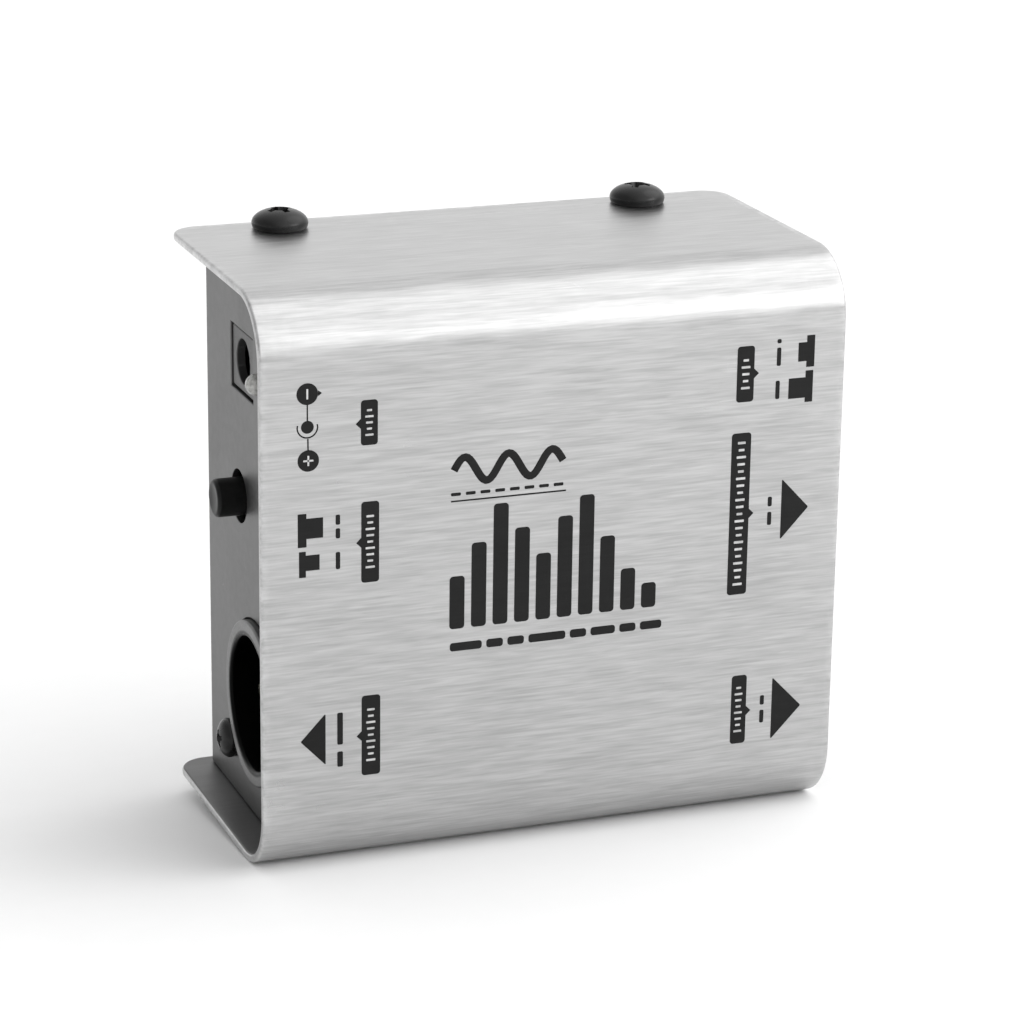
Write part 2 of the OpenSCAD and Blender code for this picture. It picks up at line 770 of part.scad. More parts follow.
// Two leads leave the lamp side by side, drop past the inlet and run back to the board.
module lamp_leads() {
    $fn = 24;
    color([0.75, 0.75, 0.75]) in_row() for (i = [0, 1]) {
        leg = lamp_leg_places[i];
        y = lamp_y + (i - 0.5) * lamp_lead_pitch / 2;
        translate([lamp_back_x, y, lamp_z]) rotate([0, 90, 0])
            cylinder(d = lamp_lead_d, h = leg[0] - lamp_back_x);
        translate([leg[0], y, lamp_z]) sphere(d = lamp_lead_d);
        translate([leg[0], y, leg[1]]) {
            cylinder(d = lamp_lead_d, h = lamp_lead_drop);
            sphere(d = lamp_lead_d);
            rotate([-90, 0, 0]) cylinder(d = lamp_lead_d, h = board_back + leg_tail - y);
        }
    }
}

// ---------------------------------------------------------------- push switches

switch_front = -switch_set_back;
switch_back = switch_front - switch_l;
chamber_front = switch_front - switch_front_t;
chamber_back = switch_back + switch_rear_t;
collar_front = chamber_front - collar_gap;
spring_front = collar_front - collar_t;

module switch_body() {
    color([0.12, 0.12, 0.12]) difference() {
        translate([-switch_w / 2, -switch_above, switch_back])
            cube([switch_w, switch_above + switch_above_board, switch_l]);
        translate([0, 0, chamber_front - cut])
            cylinder(d = stem_d + 2 * run_gap, h = switch_front_t + 2 * cut);
        translate([0, 0, chamber_back]) cylinder(d = chamber_d, h = chamber_front - chamber_back);
        translate([0, 0, switch_back - cut])
            cylinder(d = tail_d + 2 * run_gap, h = switch_rear_t + 2 * cut);
    }
}

module switch_plunger() {
    color([0.85, 0.85, 0.82]) {
        translate([0, 0, collar_front - lap])
            cylinder(d = stem_d, h = button_out - cap_l + stem_in_cap - collar_front + lap);
        translate([0, 0, spring_front]) cylinder(d = collar_d, h = collar_t);
        translate([0, 0, switch_back - tail_out])
            cylinder(d = tail_d, h = spring_front - switch_back + tail_out + lap);
    }
}

module switch_spring() {
    end_gap = 0.05;
    room = spring_front - chamber_back;
    color([0.7, 0.7, 0.7]) translate([0, 0, chamber_back + spring_wire_d / 2 + end_gap])
        helix(spring_turns, (spring_d - spring_wire_d) / 2, spring_wire_d,
            room - spring_wire_d - 2 * end_gap);
}

module switch_button() {
    color([0.05, 0.05, 0.05]) translate([0, 0, button_out - cap_l]) difference() {
        rotate_extrude() intersection() {
            union() {
                square([button_d / 2 - cap_crown_r, cap_l]);
                square([button_d / 2, cap_l - cap_crown_r]);
                translate([button_d / 2 - cap_crown_r, cap_l - cap_crown_r]) circle(cap_crown_r);
            }
            square([button_d, 2 * cap_l]);
        }
        translate([0, 0, -cut]) cylinder(d = stem_d + 2 * seat_gap, h = cap_socket_l + cut);
    }
}

module switch_terminals(side, z) {
    color([0.8, 0.8, 0.75]) legs_at(around(switch_middle(side, z), switch_offsets));
}

module ground_switch_body() { on_panel(left, switch_y, ground_switch_z) switch_body(); }
module ground_switch_terminals() { switch_terminals(left, ground_switch_z); }
module ground_plunger() { on_panel(left, switch_y, ground_switch_z) switch_plunger(); }
module ground_spring() { on_panel(left, switch_y, ground_switch_z) switch_spring(); }
module ground_button() { on_panel(left, switch_y, ground_switch_z) switch_button(); }

module pad_switch_body() { on_panel(right, switch_y, pad_switch_z) switch_body(); }
module pad_switch_terminals() { switch_terminals(right, pad_switch_z); }
module pad_plunger() { on_panel(right, switch_y, pad_switch_z) switch_plunger(); }
module pad_spring() { on_panel(right, switch_y, pad_switch_z) switch_spring(); }
module pad_button() { on_panel(right, switch_y, pad_switch_z) switch_button(); }

// ---------------------------------------------------------------- jack sockets

jack_front = -chassis_t;
jack_back = jack_front - jack_l;
jack_seat_back = jack_front - jack_seat_depth;
jack_chamber_back = jack_back + jack_wall;

module jack_body() {
    color([0.1, 0.1, 0.1]) difference() {
        translate([-jack_w / 2, -jack_above, jack_back])
            cube([jack_w, jack_above + jack_above_board, jack_l]);
        translate([0, 0, jack_seat_back - cut])
            cylinder(d = jack_seat_d + 2 * seat_gap, h = jack_seat_depth + 2 * cut);
        // Contact chamber, open on the side of the front face.
        translate([-jack_w / 2 + jack_wall, -jack_above - cut, jack_chamber_back])
            cube([jack_w - 2 * jack_wall, jack_above + jack_above_board - jack_wall + cut,
                jack_seat_back - jack_window_end - jack_chamber_back]);
        translate([0, 0, jack_seat_back - jack_window_end - cut])
            cylinder(d = jack_bore_d, h = jack_window_end + 2 * cut);
    }
}

module jack_bushing() {
    lead_in = 0.6;
    edge = 0.4;
    color([0.7, 0.7, 0.68]) difference() {
        union() {
            translate([0, 0, jack_front]) cylinder(d = jack_thread_d, h = jack_out - jack_front - edge);
            translate([0, 0, jack_out - edge])
                cylinder(d1 = jack_thread_d, d2 = jack_thread_d - 2 * edge, h = edge);
            translate([0, 0, jack_seat_back]) cylinder(d = jack_seat_d, h = jack_seat_depth + lap);
        }
        translate([0, 0, jack_seat_back - cut])
            cylinder(d = jack_bore_d, h = jack_seat_depth - jack_front + jack_out + 2 * cut);
        translate([0, 0, jack_out - lead_in])
            cylinder(d1 = jack_bore_d, d2 = jack_bore_d + 2 * (lead_in + lap), h = lead_in + lap);
    }
}

// A leaf contact beside the plug's path: it lies along the chamber's wall, with a crown towards
// the plug and a leg down to the board.
module leaf_contact(side, z0, z1) {
    x = side * (jack_bore_d / 2 + 1.5);
    crown_x = side * (jack_bore_d / 2 + 0.3);
    for (leaf = [[x, z0, crown_x, (z0 + z1) / 2], [crown_x, (z0 + z1) / 2, x, z1]])
        rotate([90, 0, 0]) translate([0, 0, -blade_w / 2]) linear_extrude(blade_w)
            polygon([
                [leaf[0], leaf[1]], [leaf[0] + side * blade_t, leaf[1]],
                [leaf[2] + side * blade_t, leaf[3]], [leaf[2], leaf[3]]
            ]);
    translate([min(x, x + side * blade_t), -blade_w / 2, z0 - blade_t])
        cube([blade_t, jack_above_board - jack_wall + blade_w / 2, 2 * blade_t]);
}

module jack_contacts(z) {
    rear_leaf = jack_chamber_back + 2;
    leaf_l = 7;
    leaf_gap = 2;
    leaf_from_seat = 3;
    color([0.8, 0.75, 0.55]) {
        on_panel(right, jack_y, z) {
            for (side = [-1, 1]) {
                leaf_contact(side, rear_leaf, rear_leaf + leaf_l);
                leaf_contact(side, rear_leaf + leaf_l + leaf_gap, jack_seat_back - leaf_from_seat);
            }
        }
        legs_at(around(jack_middle(z), jack_leg_offsets));
    }
}

module input_jack_body() { on_panel(right, jack_y, input_jack_z) jack_body(); }
module input_jack_bushing() { on_panel(right, jack_y, input_jack_z) jack_bushing(); }
module input_jack_contacts() { jack_contacts(input_jack_z); }
module link_jack_body() { on_panel(right, jack_y, link_jack_z) jack_body(); }
module link_jack_bushing() { on_panel(right, jack_y, link_jack_z) jack_bushing(); }
module link_jack_contacts() { jack_contacts(link_jack_z); }

module at_jacks() {
    for (z = [input_jack_z, link_jack_z]) on_panel(right, jack_y, z) children();
}

module jack_washers() {
    color([0.7, 0.7, 0.7]) at_jacks() tube(washer_d, jack_thread_d + 2 * screw_gap, washer_t);
}

module jack_nuts() {
    crown_d = nut_af + 0.6;
    slope = 0.6;
    color([0.7, 0.7, 0.7]) at_jacks() translate([0, 0, washer_t]) difference() {
        intersection() {
            hexagon(nut_af, nut_t);
            translate([0, 0, -slope])
                cylinder(d1 = crown_d + 2 * (nut_t + slope) * slope, d2 = crown_d, h = nut_t + slope);
        }
        translate([0, 0, -cut]) cylinder(d = jack_thread_d + 2 * seat_gap, h = nut_t + 2 * cut);
    }
}

// ---------------------------------------------------------------- circuit board

module circuit_board() {
    color([0.1, 0.35, 0.2]) in_row() difference() {
        translate([-board_half, board_y, board_z0]) cube([2 * board_half, board_t, board_z1 - board_z0]);
        translate([-board_half - cut, board_y - cut, board_z0 - cut])
            cube([notch_x + board_half + cut, board_t + 2 * cut, notch_z - board_z0 + cut]);
        for (p = standoff_places) translate([p[0], board_y - cut, p[1]]) rotate([-90, 0, 0])
            cylinder(d = standoff_screw_d + 2 * screw_gap, h = board_t + 2 * cut);
        for (p = all_leg_places) translate([p[0], board_y - cut, p[1]]) rotate([-90, 0, 0])
            cylinder(d = leg_hole_d, h = board_t + 2 * cut, $fn = 24);
    }
}

module standoffs() {
    color([0.75, 0.65, 0.35]) in_row() for (p = standoff_places)
        translate([p[0], board_back, p[1]]) rotate([-90, 0, 0]) difference() {
            hexagon(standoff_d, back_in_y - board_back);
            translate([0, 0, -cut])
                cylinder(d = standoff_screw_d + 2 * seat_gap, h = back_in_y - board_back + 2 * cut);
        }
}

module board_screws() {
    color([0.65, 0.65, 0.65]) in_row() for (p = standoff_places)
        translate([p[0], board_y, p[1]]) rotate([90, 0, 0])
            small_screw(standoff_screw_d, board_t + standoff_grip);
}

module standoff_screws() {
    color([0.08, 0.08, 0.08]) in_row() for (p = standoff_places)
        translate([p[0], back_y, p[1]]) rotate([-90, 0, 0])
            small_screw(standoff_screw_d, chassis_t + standoff_grip);
}

// ---------------------------------------------------------------- electronic parts
// Local Z of on_board() points to the rear, so bodies stand towards negative Z.

module chip(place) {
    stand = 0.4;
    notch_r = 0.8;
    color([0.1, 0.1, 0.1]) on_board(place) translate([-chip_l / 2, -chip_w / 2, -chip_h - stand])
        difference() {
            cube([chip_l, chip_w, chip_h]);
            translate([0, chip_w / 2, -cut]) cylinder(r = notch_r, h = notch_r + cut, $fn = 32);
        }
}

module front_amplifier_chip() { chip(chip_places[0]); }
module output_amplifier_chip() { chip(chip_places[1]); }

module chip_legs() {
    shoulder_w = 1.6;
    shoulder_up = 1.9;
    shoulder_t = 0.4;
    color([0.75, 0.75, 0.75]) for (place = chip_places) on_board(place) for (o = chip_offsets) {
        side = sign(o[1]);
        translate([o[0], o[1], -shoulder_up - lap]) round_leg(shoulder_up + lap + board_t + leg_tail);
        translate([o[0] - shoulder_w / 2, min(side * chip_w / 2, o[1] + side * leg_d / 2),
            -shoulder_up - shoulder_t])
            cube([shoulder_w, (chip_row - chip_w + leg_d) / 2, shoulder_t]);
    }
}

module can_capacitor(place) {
    bead = 0.5;
    score_w = 0.3;
    score_depth = 0.2;
    on_board(place) {
        color([0.12, 0.14, 0.3]) translate([0, 0, -can_h]) difference() {
            rotate_extrude() intersection() {
                union() {
                    square([can_d / 2 - bead, can_h]);
                    translate([0, bead]) square([can_d / 2, can_h - bead]);
                    translate([can_d / 2 - bead, bead]) circle(bead, $fn = 32);
                }
                square([can_d, can_h]);
            }
            for (a = [0, 90]) rotate([0, 0, a]) translate([-can_d / 3, -score_w / 2, -cut])
                cube([2 * can_d / 3, score_w, cut + score_depth]);
        }
        legs(pair_offsets);
    }
}

module supply_capacitor() { can_capacitor(can_places[0]); }
module coupling_capacitor() { can_capacitor(can_places[1]); }
module filter_capacitor() { can_capacitor(can_places[2]); }
module output_capacitor() { can_capacitor(can_places[3]); }

module film_capacitors() {
    color([0.65, 0.15, 0.1]) for (place = film_places) on_board(place) {
        translate([0, 0, -film_h]) rounded_plate(film_l, film_w, film_h, film_edge_r);
        legs(film_offsets);
    }
}

module transistors() {
    stand = 2;
    flat = 1.2;
    color([0.1, 0.1, 0.1]) for (place = transistor_places) on_board(place) {
        translate([0, 0, -stand - transistor_h]) intersection() {
            cylinder(d = transistor_d, h = transistor_h);
            translate([-transistor_d, -transistor_d + flat, 0])
                cube([2 * transistor_d, transistor_d, transistor_h]);
        }
        for (o = transistor_offsets) translate([o[0], 0, -stand - lap])
            round_leg(stand + lap + board_t + leg_tail);
    }
}

module resistors() {
    lead_z = -resistor_up - resistor_d / 2;
    color([0.55, 0.7, 0.75]) for (place = resistor_places) on_board(place) {
        translate([-resistor_l / 2, 0, lead_z]) rotate([0, 90, 0])
            cylinder(d = resistor_d, h = resistor_l);
        translate([-resistor_pitch / 2, 0, lead_z]) rotate([0, 90, 0]) round_leg(resistor_pitch);
        for (s = [-1, 1]) translate([s * resistor_pitch / 2, 0, lead_z]) {
            sphere(d = leg_d, $fn = 24);
            round_leg(board_t + leg_tail - lead_z);
        }
    }
}

// ---------------------------------------------------------------- nodes

cover();
chassis();
cover_screws();
rubber_feet();
output_shell();
output_insert();
output_pins();
output_screws();
output_nuts();
output_wires();
inlet_housing();
inlet_pin();
inlet_contact();
power_lamp();
lamp_leads();
ground_switch_body();
ground_switch_terminals();
ground_plunger();
ground_spring();
ground_button();
pad_switch_body();
pad_switch_terminals();
pad_plunger();
pad_spring();
pad_button();
input_jack_body();
input_jack_bushing();
input_jack_contacts();
link_jack_body();
link_jack_bushing();
link_jack_contacts();
jack_washers();
jack_nuts();
circuit_board();
standoffs();
board_screws();
standoff_screws();
front_amplifier_chip();
output_amplifier_chip();
chip_legs();
supply_capacitor();
coupling_capacitor();
filter_capacitor();
output_capacitor();
film_capacitors();
transistors();
resistors();
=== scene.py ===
import math

import bmesh
import bpy
from mathutils import Matrix, Vector


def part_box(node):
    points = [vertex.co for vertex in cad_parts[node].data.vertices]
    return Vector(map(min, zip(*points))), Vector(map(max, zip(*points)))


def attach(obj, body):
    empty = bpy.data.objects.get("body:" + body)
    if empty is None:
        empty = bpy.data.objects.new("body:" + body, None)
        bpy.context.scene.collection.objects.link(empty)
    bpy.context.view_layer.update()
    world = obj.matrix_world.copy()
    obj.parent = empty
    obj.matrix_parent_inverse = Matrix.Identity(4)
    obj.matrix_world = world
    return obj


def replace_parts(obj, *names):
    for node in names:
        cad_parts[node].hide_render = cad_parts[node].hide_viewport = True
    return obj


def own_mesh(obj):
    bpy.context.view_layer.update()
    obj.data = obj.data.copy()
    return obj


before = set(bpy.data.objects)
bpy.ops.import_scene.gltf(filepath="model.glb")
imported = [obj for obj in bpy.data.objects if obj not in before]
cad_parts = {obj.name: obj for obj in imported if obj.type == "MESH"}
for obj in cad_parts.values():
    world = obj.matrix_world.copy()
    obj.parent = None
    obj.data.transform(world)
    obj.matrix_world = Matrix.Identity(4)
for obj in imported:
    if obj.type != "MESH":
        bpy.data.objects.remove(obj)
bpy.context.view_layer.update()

MM = 0.001
MERGE_WITHIN = 0.002 * MM
scene = bpy.context.scene

# ---- bench tools


def clear_bench():
    """Leaves edit mode with nothing selected."""
    if bpy.context.object and bpy.context.object.mode != "OBJECT":
        bpy.ops.object.mode_set(mode="OBJECT")
    bpy.ops.object.select_all(action="DESELECT")


def hold(piece):
    clear_bench()
    piece.select_set(True)
    bpy.context.view_layer.objects.active = piece


def open_up(piece):
    hold(piece)
    bpy.ops.object.mode_set(mode="EDIT")


def close_up():
    bpy.ops.object.mode_set(mode="OBJECT")


def take_all():
    bpy.ops.mesh.select_all(action="SELECT")


def merge_points():
    """Merges the open piece's points that lie on each other."""
    take_all()
    bpy.ops.mesh.remove_doubles(threshold=MERGE_WITHIN)


def round_edges(radius, steps, rule):
    """Rounds the open piece's edges that the rule takes, by a radius in millimetres."""
    pick("EDGE", rule)
    bpy.ops.mesh.bevel(offset=radius * MM, segments=steps, profile=0.5, affect="EDGES")


def pick(kind, rule):
    """Selects the vertices, edges or faces in edit mode that rule(middle in mm, direction) takes."""
    bpy.ops.mesh.select_mode(type=kind)
    bpy.ops.mesh.select_all(action="DESELECT")
    shape = bmesh.from_edit_mesh(bpy.context.edit_object.data)
    shape.normal_update()
    if kind == "VERT":
        found = [(v, v.co, v.normal) for v in shape.verts]
    elif kind == "EDGE":
        found = [(e, (e.verts[0].co + e.verts[1].co) / 2,
                  (e.verts[1].co - e.verts[0].co).normalized()) for e in shape.edges]
    else:
        found = [(f, f.calc_center_median(), f.normal) for f in shape.faces]
    for part, middle, direction in found:
        if rule(middle / MM, direction):
            part.select_set(True)
    bmesh.update_edit_mesh(bpy.context.edit_object.data)


def fix_place(piece):
    """Puts the piece's place, turn and size into its mesh."""
    hold(piece)
    bpy.ops.object.transform_apply(location=True, rotation=True, scale=True)


def block(name, low, high):
    """A block between two corners in millimetres."""
    low, high = Vector(low) * MM, Vector(high) * MM
    clear_bench()
    bpy.ops.mesh.primitive_cube_add(size=1, location=(low + high) / 2, scale=high - low)
    piece = bpy.context.object
    piece.name = name
    fix_place(piece)
    return piece


def rod(name, diameter, low, high, sides=48, top_diameter=None):
    """A round rod or cone along Z between two heights in millimetres."""
    clear_bench()
    bpy.ops.mesh.primitive_cone_add(
        vertices=sides, radius1=diameter / 2 * MM, radius2=(top_diameter or diameter) / 2 * MM,
        depth=(high - low) * MM, location=(0, 0, (low + high) / 2 * MM))
    piece = bpy.context.object
    piece.name = name
    fix_place(piece)
    return piece


def turned(name, outline, sides=64):
    """A piece turned about Z from its outline of (radius, height) points in millimetres."""
    clear_bench()
    bpy.ops.mesh.primitive_plane_add(size=MM)
    piece = bpy.context.object
    piece.name = name
    bpy.ops.object.mode_set(mode="EDIT")
    bpy.ops.mesh.select_mode(type="VERT")
    take_all()
    bpy.ops.mesh.merge(type="CENTER")
    bpy.ops.transform.translate(value=(outline[0][0] * MM, 0, outline[0][1] * MM))
    for (r0, z0), (r1, z1) in zip(outline, outline[1:]):
        bpy.ops.mesh.extrude_vertices_move(
            TRANSFORM_OT_translate={"value": ((r1 - r0) * MM, 0, (z1 - z0) * MM)})
    take_all()
    bpy.ops.mesh.spin(steps=sides, angle=math.tau, center=(0, 0, 0), axis=(0, 0, 1))
    merge_points()
    bpy.ops.mesh.normals_make_consistent(inside=False)
    close_up()
    return piece


def arc(middle_r, middle_z, radius, start, end, steps=6):
    """Points along an arc of an outline, in degrees from the outward direction."""
    return [(middle_r + radius * math.cos(math.radians(start + (end - start) * i / steps)),
             middle_z + radius * math.sin(math.radians(start + (end - start) * i / steps)))
            for i in range(steps + 1)]


def apply(piece, kind, **settings):
    """Adds a modifier with its settings and applies it."""
    hold(piece)
    step = piece.modifiers.new(kind.lower(), kind)
    for name, value in settings.items():
        setattr(step, name, value)
    bpy.ops.object.modifier_apply(modifier=step.name)
    return piece


def cut(piece, tool):
    apply(piece, "BOOLEAN", operation="DIFFERENCE", solver="EXACT", object=tool)
    bpy.data.objects.remove(tool)
    return piece


def fuse(piece, other):
    apply(piece, "BOOLEAN", operation="UNION", solver="EXACT", object=other)
    bpy.data.objects.remove(other)
    return piece


def join(name, pieces):
    clear_bench()
    for piece in pieces:
        piece.select_set(True)
    bpy.context.view_layer.objects.active = pieces[0]
    if len(pieces) > 1:
        bpy.ops.object.join()
    pieces[0].name = name
    return pieces[0]


def soften(piece, width, steps=3, angle=35, clamp=True):
    """Breaks the sharp edges over a width in millimetres."""
    return apply(piece, "BEVEL", width=width * MM, segments=steps, limit_method="ANGLE",
                 angle_limit=math.radians(angle), use_clamp_overlap=clamp)


def smooth(piece, angle=32):
    hold(piece)
    bpy.ops.object.shade_smooth_by_angle(angle=math.radians(angle))
    apply(piece, "WEIGHTED_NORMAL", keep_sharp=True, weight=90)
    return piece


def strand(name, points, width, roundness):
    """A round strand of even width through points in millimetres, closed at both ends."""
    path = bpy.data.curves.new(name, "CURVE")
    path.dimensions = "3D"
    path.bevel_depth = width / 2 * MM
    path.bevel_resolution = roundness
    path.use_fill_caps = True
    line = path.splines.new("POLY")
    line.points.add(len(points) - 1)
    for point, at in zip(line.points, points):
        point.co = (*(at * MM), 1)
    piece = bpy.data.objects.new(name, path)
    scene.collection.objects.link(piece)
    hold(piece)
    bpy.ops.object.convert(target="MESH")
    open_up(piece)
    merge_points()
    close_up()
    return piece


def copied(piece, name):
    twin = bpy.data.objects.new(name, piece.data.copy())
    scene.collection.objects.link(twin)
    return twin


def place(piece, matrix):
    piece.matrix_world = matrix
    fix_place(piece)
    return piece


def softened_twin(node, name, width, steps=2, angle=40):
    """A merged copy of a CAD node with its sharp edges broken."""
    twin = copied(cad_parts[node], name)
    open_up(twin)
    merge_points()
    bpy.ops.mesh.dissolve_limited(angle_limit=math.radians(0.4))
    close_up()
    soften(twin, width, steps, angle, clamp=False)
    return smooth(twin, 30)


# ---- places, in millimetres

cover_low, cover_high = [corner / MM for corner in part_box("cover")]
chassis_low, chassis_high = [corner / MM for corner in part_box("chassis")]
face_y = cover_low.y
# The brushed sheet stands ink_rise behind the face plane. The ink reaches from ink_sunk behind that
# plane to ink_t, inside the sheet.
ink_rise = 0.03
ink_sunk = 0.006
ink_t = 0.08


def middle(node):
    low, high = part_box(node)
    return (low + high) / 2 / MM


def shift(x, y, z=0):
    """A move in millimetres."""
    return Matrix.Translation(Vector((x, y, z)) * MM)


def spin(turn, axis="Z"):
    return Matrix.Rotation(turn, 4, axis)


def on_left(y, z):
    """Local Z points out of the left end panel, from its outer face."""
    return shift(chassis_low.x, y, z) @ spin(-math.pi / 2, "Y")


def on_right(y, z):
    return shift(chassis_high.x, y, z) @ spin(math.pi / 2, "Y")


def on_back(x, z):
    """Local Z points to the rear, from the back plate's outer face."""
    return shift(x, chassis_high.y, z) @ spin(-math.pi / 2, "X")


# ---- finishes: shared effects


def new_group(name, inputs, outputs):
    tree = bpy.data.node_groups.new(name, "ShaderNodeTree")
    for label, kind, default in inputs:
        socket = tree.interface.new_socket(name=label, in_out="INPUT", socket_type=kind)
        socket.default_value = default
    for label in outputs:
        tree.interface.new_socket(name=label, in_out="OUTPUT", socket_type="NodeSocketFloat")
    return tree, tree.nodes.new("NodeGroupInput"), tree.nodes.new("NodeGroupOutput")


def feed(tree, socket, value):
    """Links an output to an input socket, or sets the socket's own value."""
    if isinstance(value, bpy.types.NodeSocket):
        tree.links.new(value, socket)
    else:
        socket.default_value = value


def vector_math(tree, operation, a, b):
    node = tree.nodes.new("ShaderNodeVectorMath")
    node.operation = operation
    feed(tree, node.inputs[0], a)
    feed(tree, node.inputs[1], b)
    return node.outputs[0]


def vector_measure(tree, operation, a, b=None):
    """A length or a dot product."""
    node = tree.nodes.new("ShaderNodeVectorMath")
    node.operation = operation
    feed(tree, node.inputs[0], a)
    if b is not None:
        feed(tree, node.inputs[1], b)
    return node.outputs["Value"]


def math_node(tree, operation, a, b=0.0, clamp=False):
    node = tree.nodes.new("ShaderNodeMath")
    node.operation = operation
    node.use_clamp = clamp
    feed(tree, node.inputs[0], a)
    feed(tree, node.inputs[1], b)
    return node.outputs[0]


def times(tree, a, b):
    return math_node(tree, "MULTIPLY", a, b)


def noise(tree, vector, scale, detail=3.0, rough=0.55, distortion=0.0):
    node = tree.nodes.new("ShaderNodeTexNoise")
    feed(tree, node.inputs["Vector"], vector)
    feed(tree, node.inputs["Scale"], scale)
    node.inputs["Detail"].default_value = detail
    node.inputs["Roughness"].default_value = rough
    node.inputs["Distortion"].default_value = distortion
    return node.outputs["Fac"]


def spread(tree, value, low, high, new_low=0.0, new_high=1.0):
    """Maps a value from one range to another, held inside it."""
    node = tree.nodes.new("ShaderNodeMapRange")
    feed(tree, node.inputs["Value"], value)
    feed(tree, node.inputs["From Min"], low)
    feed(tree, node.inputs["From Max"], high)
    feed(tree, node.inputs["To Min"], new_low)
    feed(tree, node.inputs["To Max"], new_high)
    return node.outputs["Result"]


def mix_colour(tree, amount, a, b):
    node = tree.nodes.new("ShaderNodeMix")
    node.data_type = "RGBA"
    feed(tree, node.inputs[0], amount)
    feed(tree, node.inputs[6], a)
    feed(tree, node.inputs[7], b)
    return node.outputs[2]


def object_place(tree):
    return tree.nodes.new("ShaderNodeTexCoord").outputs["Object"]


def surface_normal(tree):
    return tree.nodes.new("ShaderNodeNewGeometry").outputs["Normal"]


def make_brushed_grain():
    """Fine drawn lines: Grain is the overall texture, Streaks the few stronger lines."""
    tree, given, result = new_group(
        "brushed_grain",
        [("Lines per Metre", "NodeSocketVector", (60.0, 3000.0, 3000.0)),
         ("Streak Share", "NodeSocketFloat", 0.3)],
        ["Grain", "Streaks", "Patches"])
    here = object_place(tree)
    lines = vector_math(tree, "MULTIPLY", here, given.outputs[0])
    fine = noise(tree, lines, 1.0, 2.0, 0.6)
    coarse_at = vector_math(tree, "MULTIPLY", lines, (0.55, 0.3, 0.3))
    coarse = noise(tree, coarse_at, 1.0, 2.0, 0.6)
    tree.links.new(math_node(tree, "ADD", times(tree, fine, 0.6), times(tree, coarse, 0.4)),
                   result.inputs["Grain"])
    sharp_at = vector_math(tree, "MULTIPLY", lines, (1.5, 0.5, 0.5))
    sharp = noise(tree, sharp_at, 1.0, 1.0, 0.4)
    edge = math_node(tree, "SUBTRACT", 0.95, times(tree, given.outputs[1], 0.9))
    tree.links.new(spread(tree, sharp, edge, 0.95), result.inputs["Streaks"])
    tree.links.new(noise(tree, here, 45.0, 3.0, 0.5), result.inputs["Patches"])
    return tree


def make_edge_wear():
    """Wear on outward corners, broken up by noise."""
    tree, given, result = new_group(
        "edge_wear",
        [("Reach", "NodeSocketFloat", 0.06), ("Breakup per Metre", "NodeSocketFloat", 900.0)],
        ["Wear"])
    corner = tree.nodes.new("ShaderNodeNewGeometry").outputs["Pointiness"]
    far = math_node(tree, "ADD", 0.5, given.outputs[0])
    exposed = spread(tree, corner, 0.505, far)
    broken = noise(tree, object_place(tree), given.outputs[1], 3.0, 0.6)
    tree.links.new(times(tree, exposed, spread(tree, broken, 0.4, 0.62)),
                   result.inputs["Wear"])
    return tree


def make_moulded_skin():
    """The faint pebble of moulded or painted parts, with slow patches."""
    tree, given, result = new_group(
        "moulded_skin", [("Pebbles per Metre", "NodeSocketFloat", 5000.0)], ["Height", "Patches"])
    here = object_place(tree)
    tree.links.new(noise(tree, here, given.outputs[0], 2.0, 0.6), result.inputs["Height"])
    tree.links.new(noise(tree, here, 160.0, 3.0, 0.6), result.inputs["Patches"])
    return tree


def make_handling_marks():
    """Smudges from fingers and a few hairline scratches."""
    tree, given, result = new_group(
        "handling_marks", [("Marks per Metre", "NodeSocketFloat", 40.0)], ["Smudge", "Scratch"])
    here = object_place(tree)
    blur = noise(tree, here, given.outputs[0], 4.0, 0.6, 0.6)
    tree.links.new(spread(tree, blur, 0.48, 0.72), result.inputs["Smudge"])
    lines_at = vector_math(tree, "MULTIPLY", here, (1.0, 2.6, 2.6))
    line = noise(tree, lines_at, given.outputs[0], 2.0, 0.5, 1.2)
    distance = math_node(tree, "ABSOLUTE", math_node(tree, "SUBTRACT", line, 0.5))
    thin = spread(tree, distance, 0.0, 0.0022, 1.0, 0.0)
    some = spread(tree, noise(tree, here, 120.0, 2.0, 0.5), 0.56, 0.66)
    tree.links.new(times(tree, thin, some), result.inputs["Scratch"])
    return tree


brushed_grain = make_brushed_grain()
edge_wear = make_edge_wear()
moulded_skin = make_moulded_skin()
handling_marks = make_handling_marks()


def effect(tree, shared, **values):
    node = tree.nodes.new("ShaderNodeGroup")
    node.node_tree = shared
    for label, value in values.items():
        node.inputs[label.replace("_", " ")].default_value = value
    return node.outputs


finishes = {}


def new_finish(name, **fixed):
    """Adds a material to the finishes, with its constants on the shader's own sockets."""
    finishes[name] = bpy.data.materials.new(name)
    finishes[name].use_nodes = True
    tree = finishes[name].node_tree
    shader = tree.nodes["Principled BSDF"]
    for label, value in fixed.items():
        shader.inputs[label.replace("_", " ")].default_value = value
    return tree, shader


def bump(tree, shader, height, distance):
    node = tree.nodes.new("ShaderNodeBump")
    node.inputs["Distance"].default_value = distance
    node.inputs["Strength"].default_value = 1.0
    tree.links.new(height, node.inputs["Height"])
    tree.links.new(node.outputs["Normal"], shader.inputs["Normal"])


def patchy(tree, skin, a, b):
    """A colour that drifts between two others in slow patches."""
    return mix_colour(tree, spread(tree, skin["Patches"], 0.35, 0.65), a, b)


def coat(tree, shader, colour, uneven, glossy, dull, height, relief):
    """Gives a shader its colour, its roughness over an uneven value, and its relief in metres."""
    tree.links.new(colour, shader.inputs["Base Color"])
    tree.links.new(spread(tree, uneven, 0.3, 0.7, glossy, dull), shader.inputs["Roughness"])
    bump(tree, shader, height, relief)


def grey(value):
    return (value, value, value, 1.0)


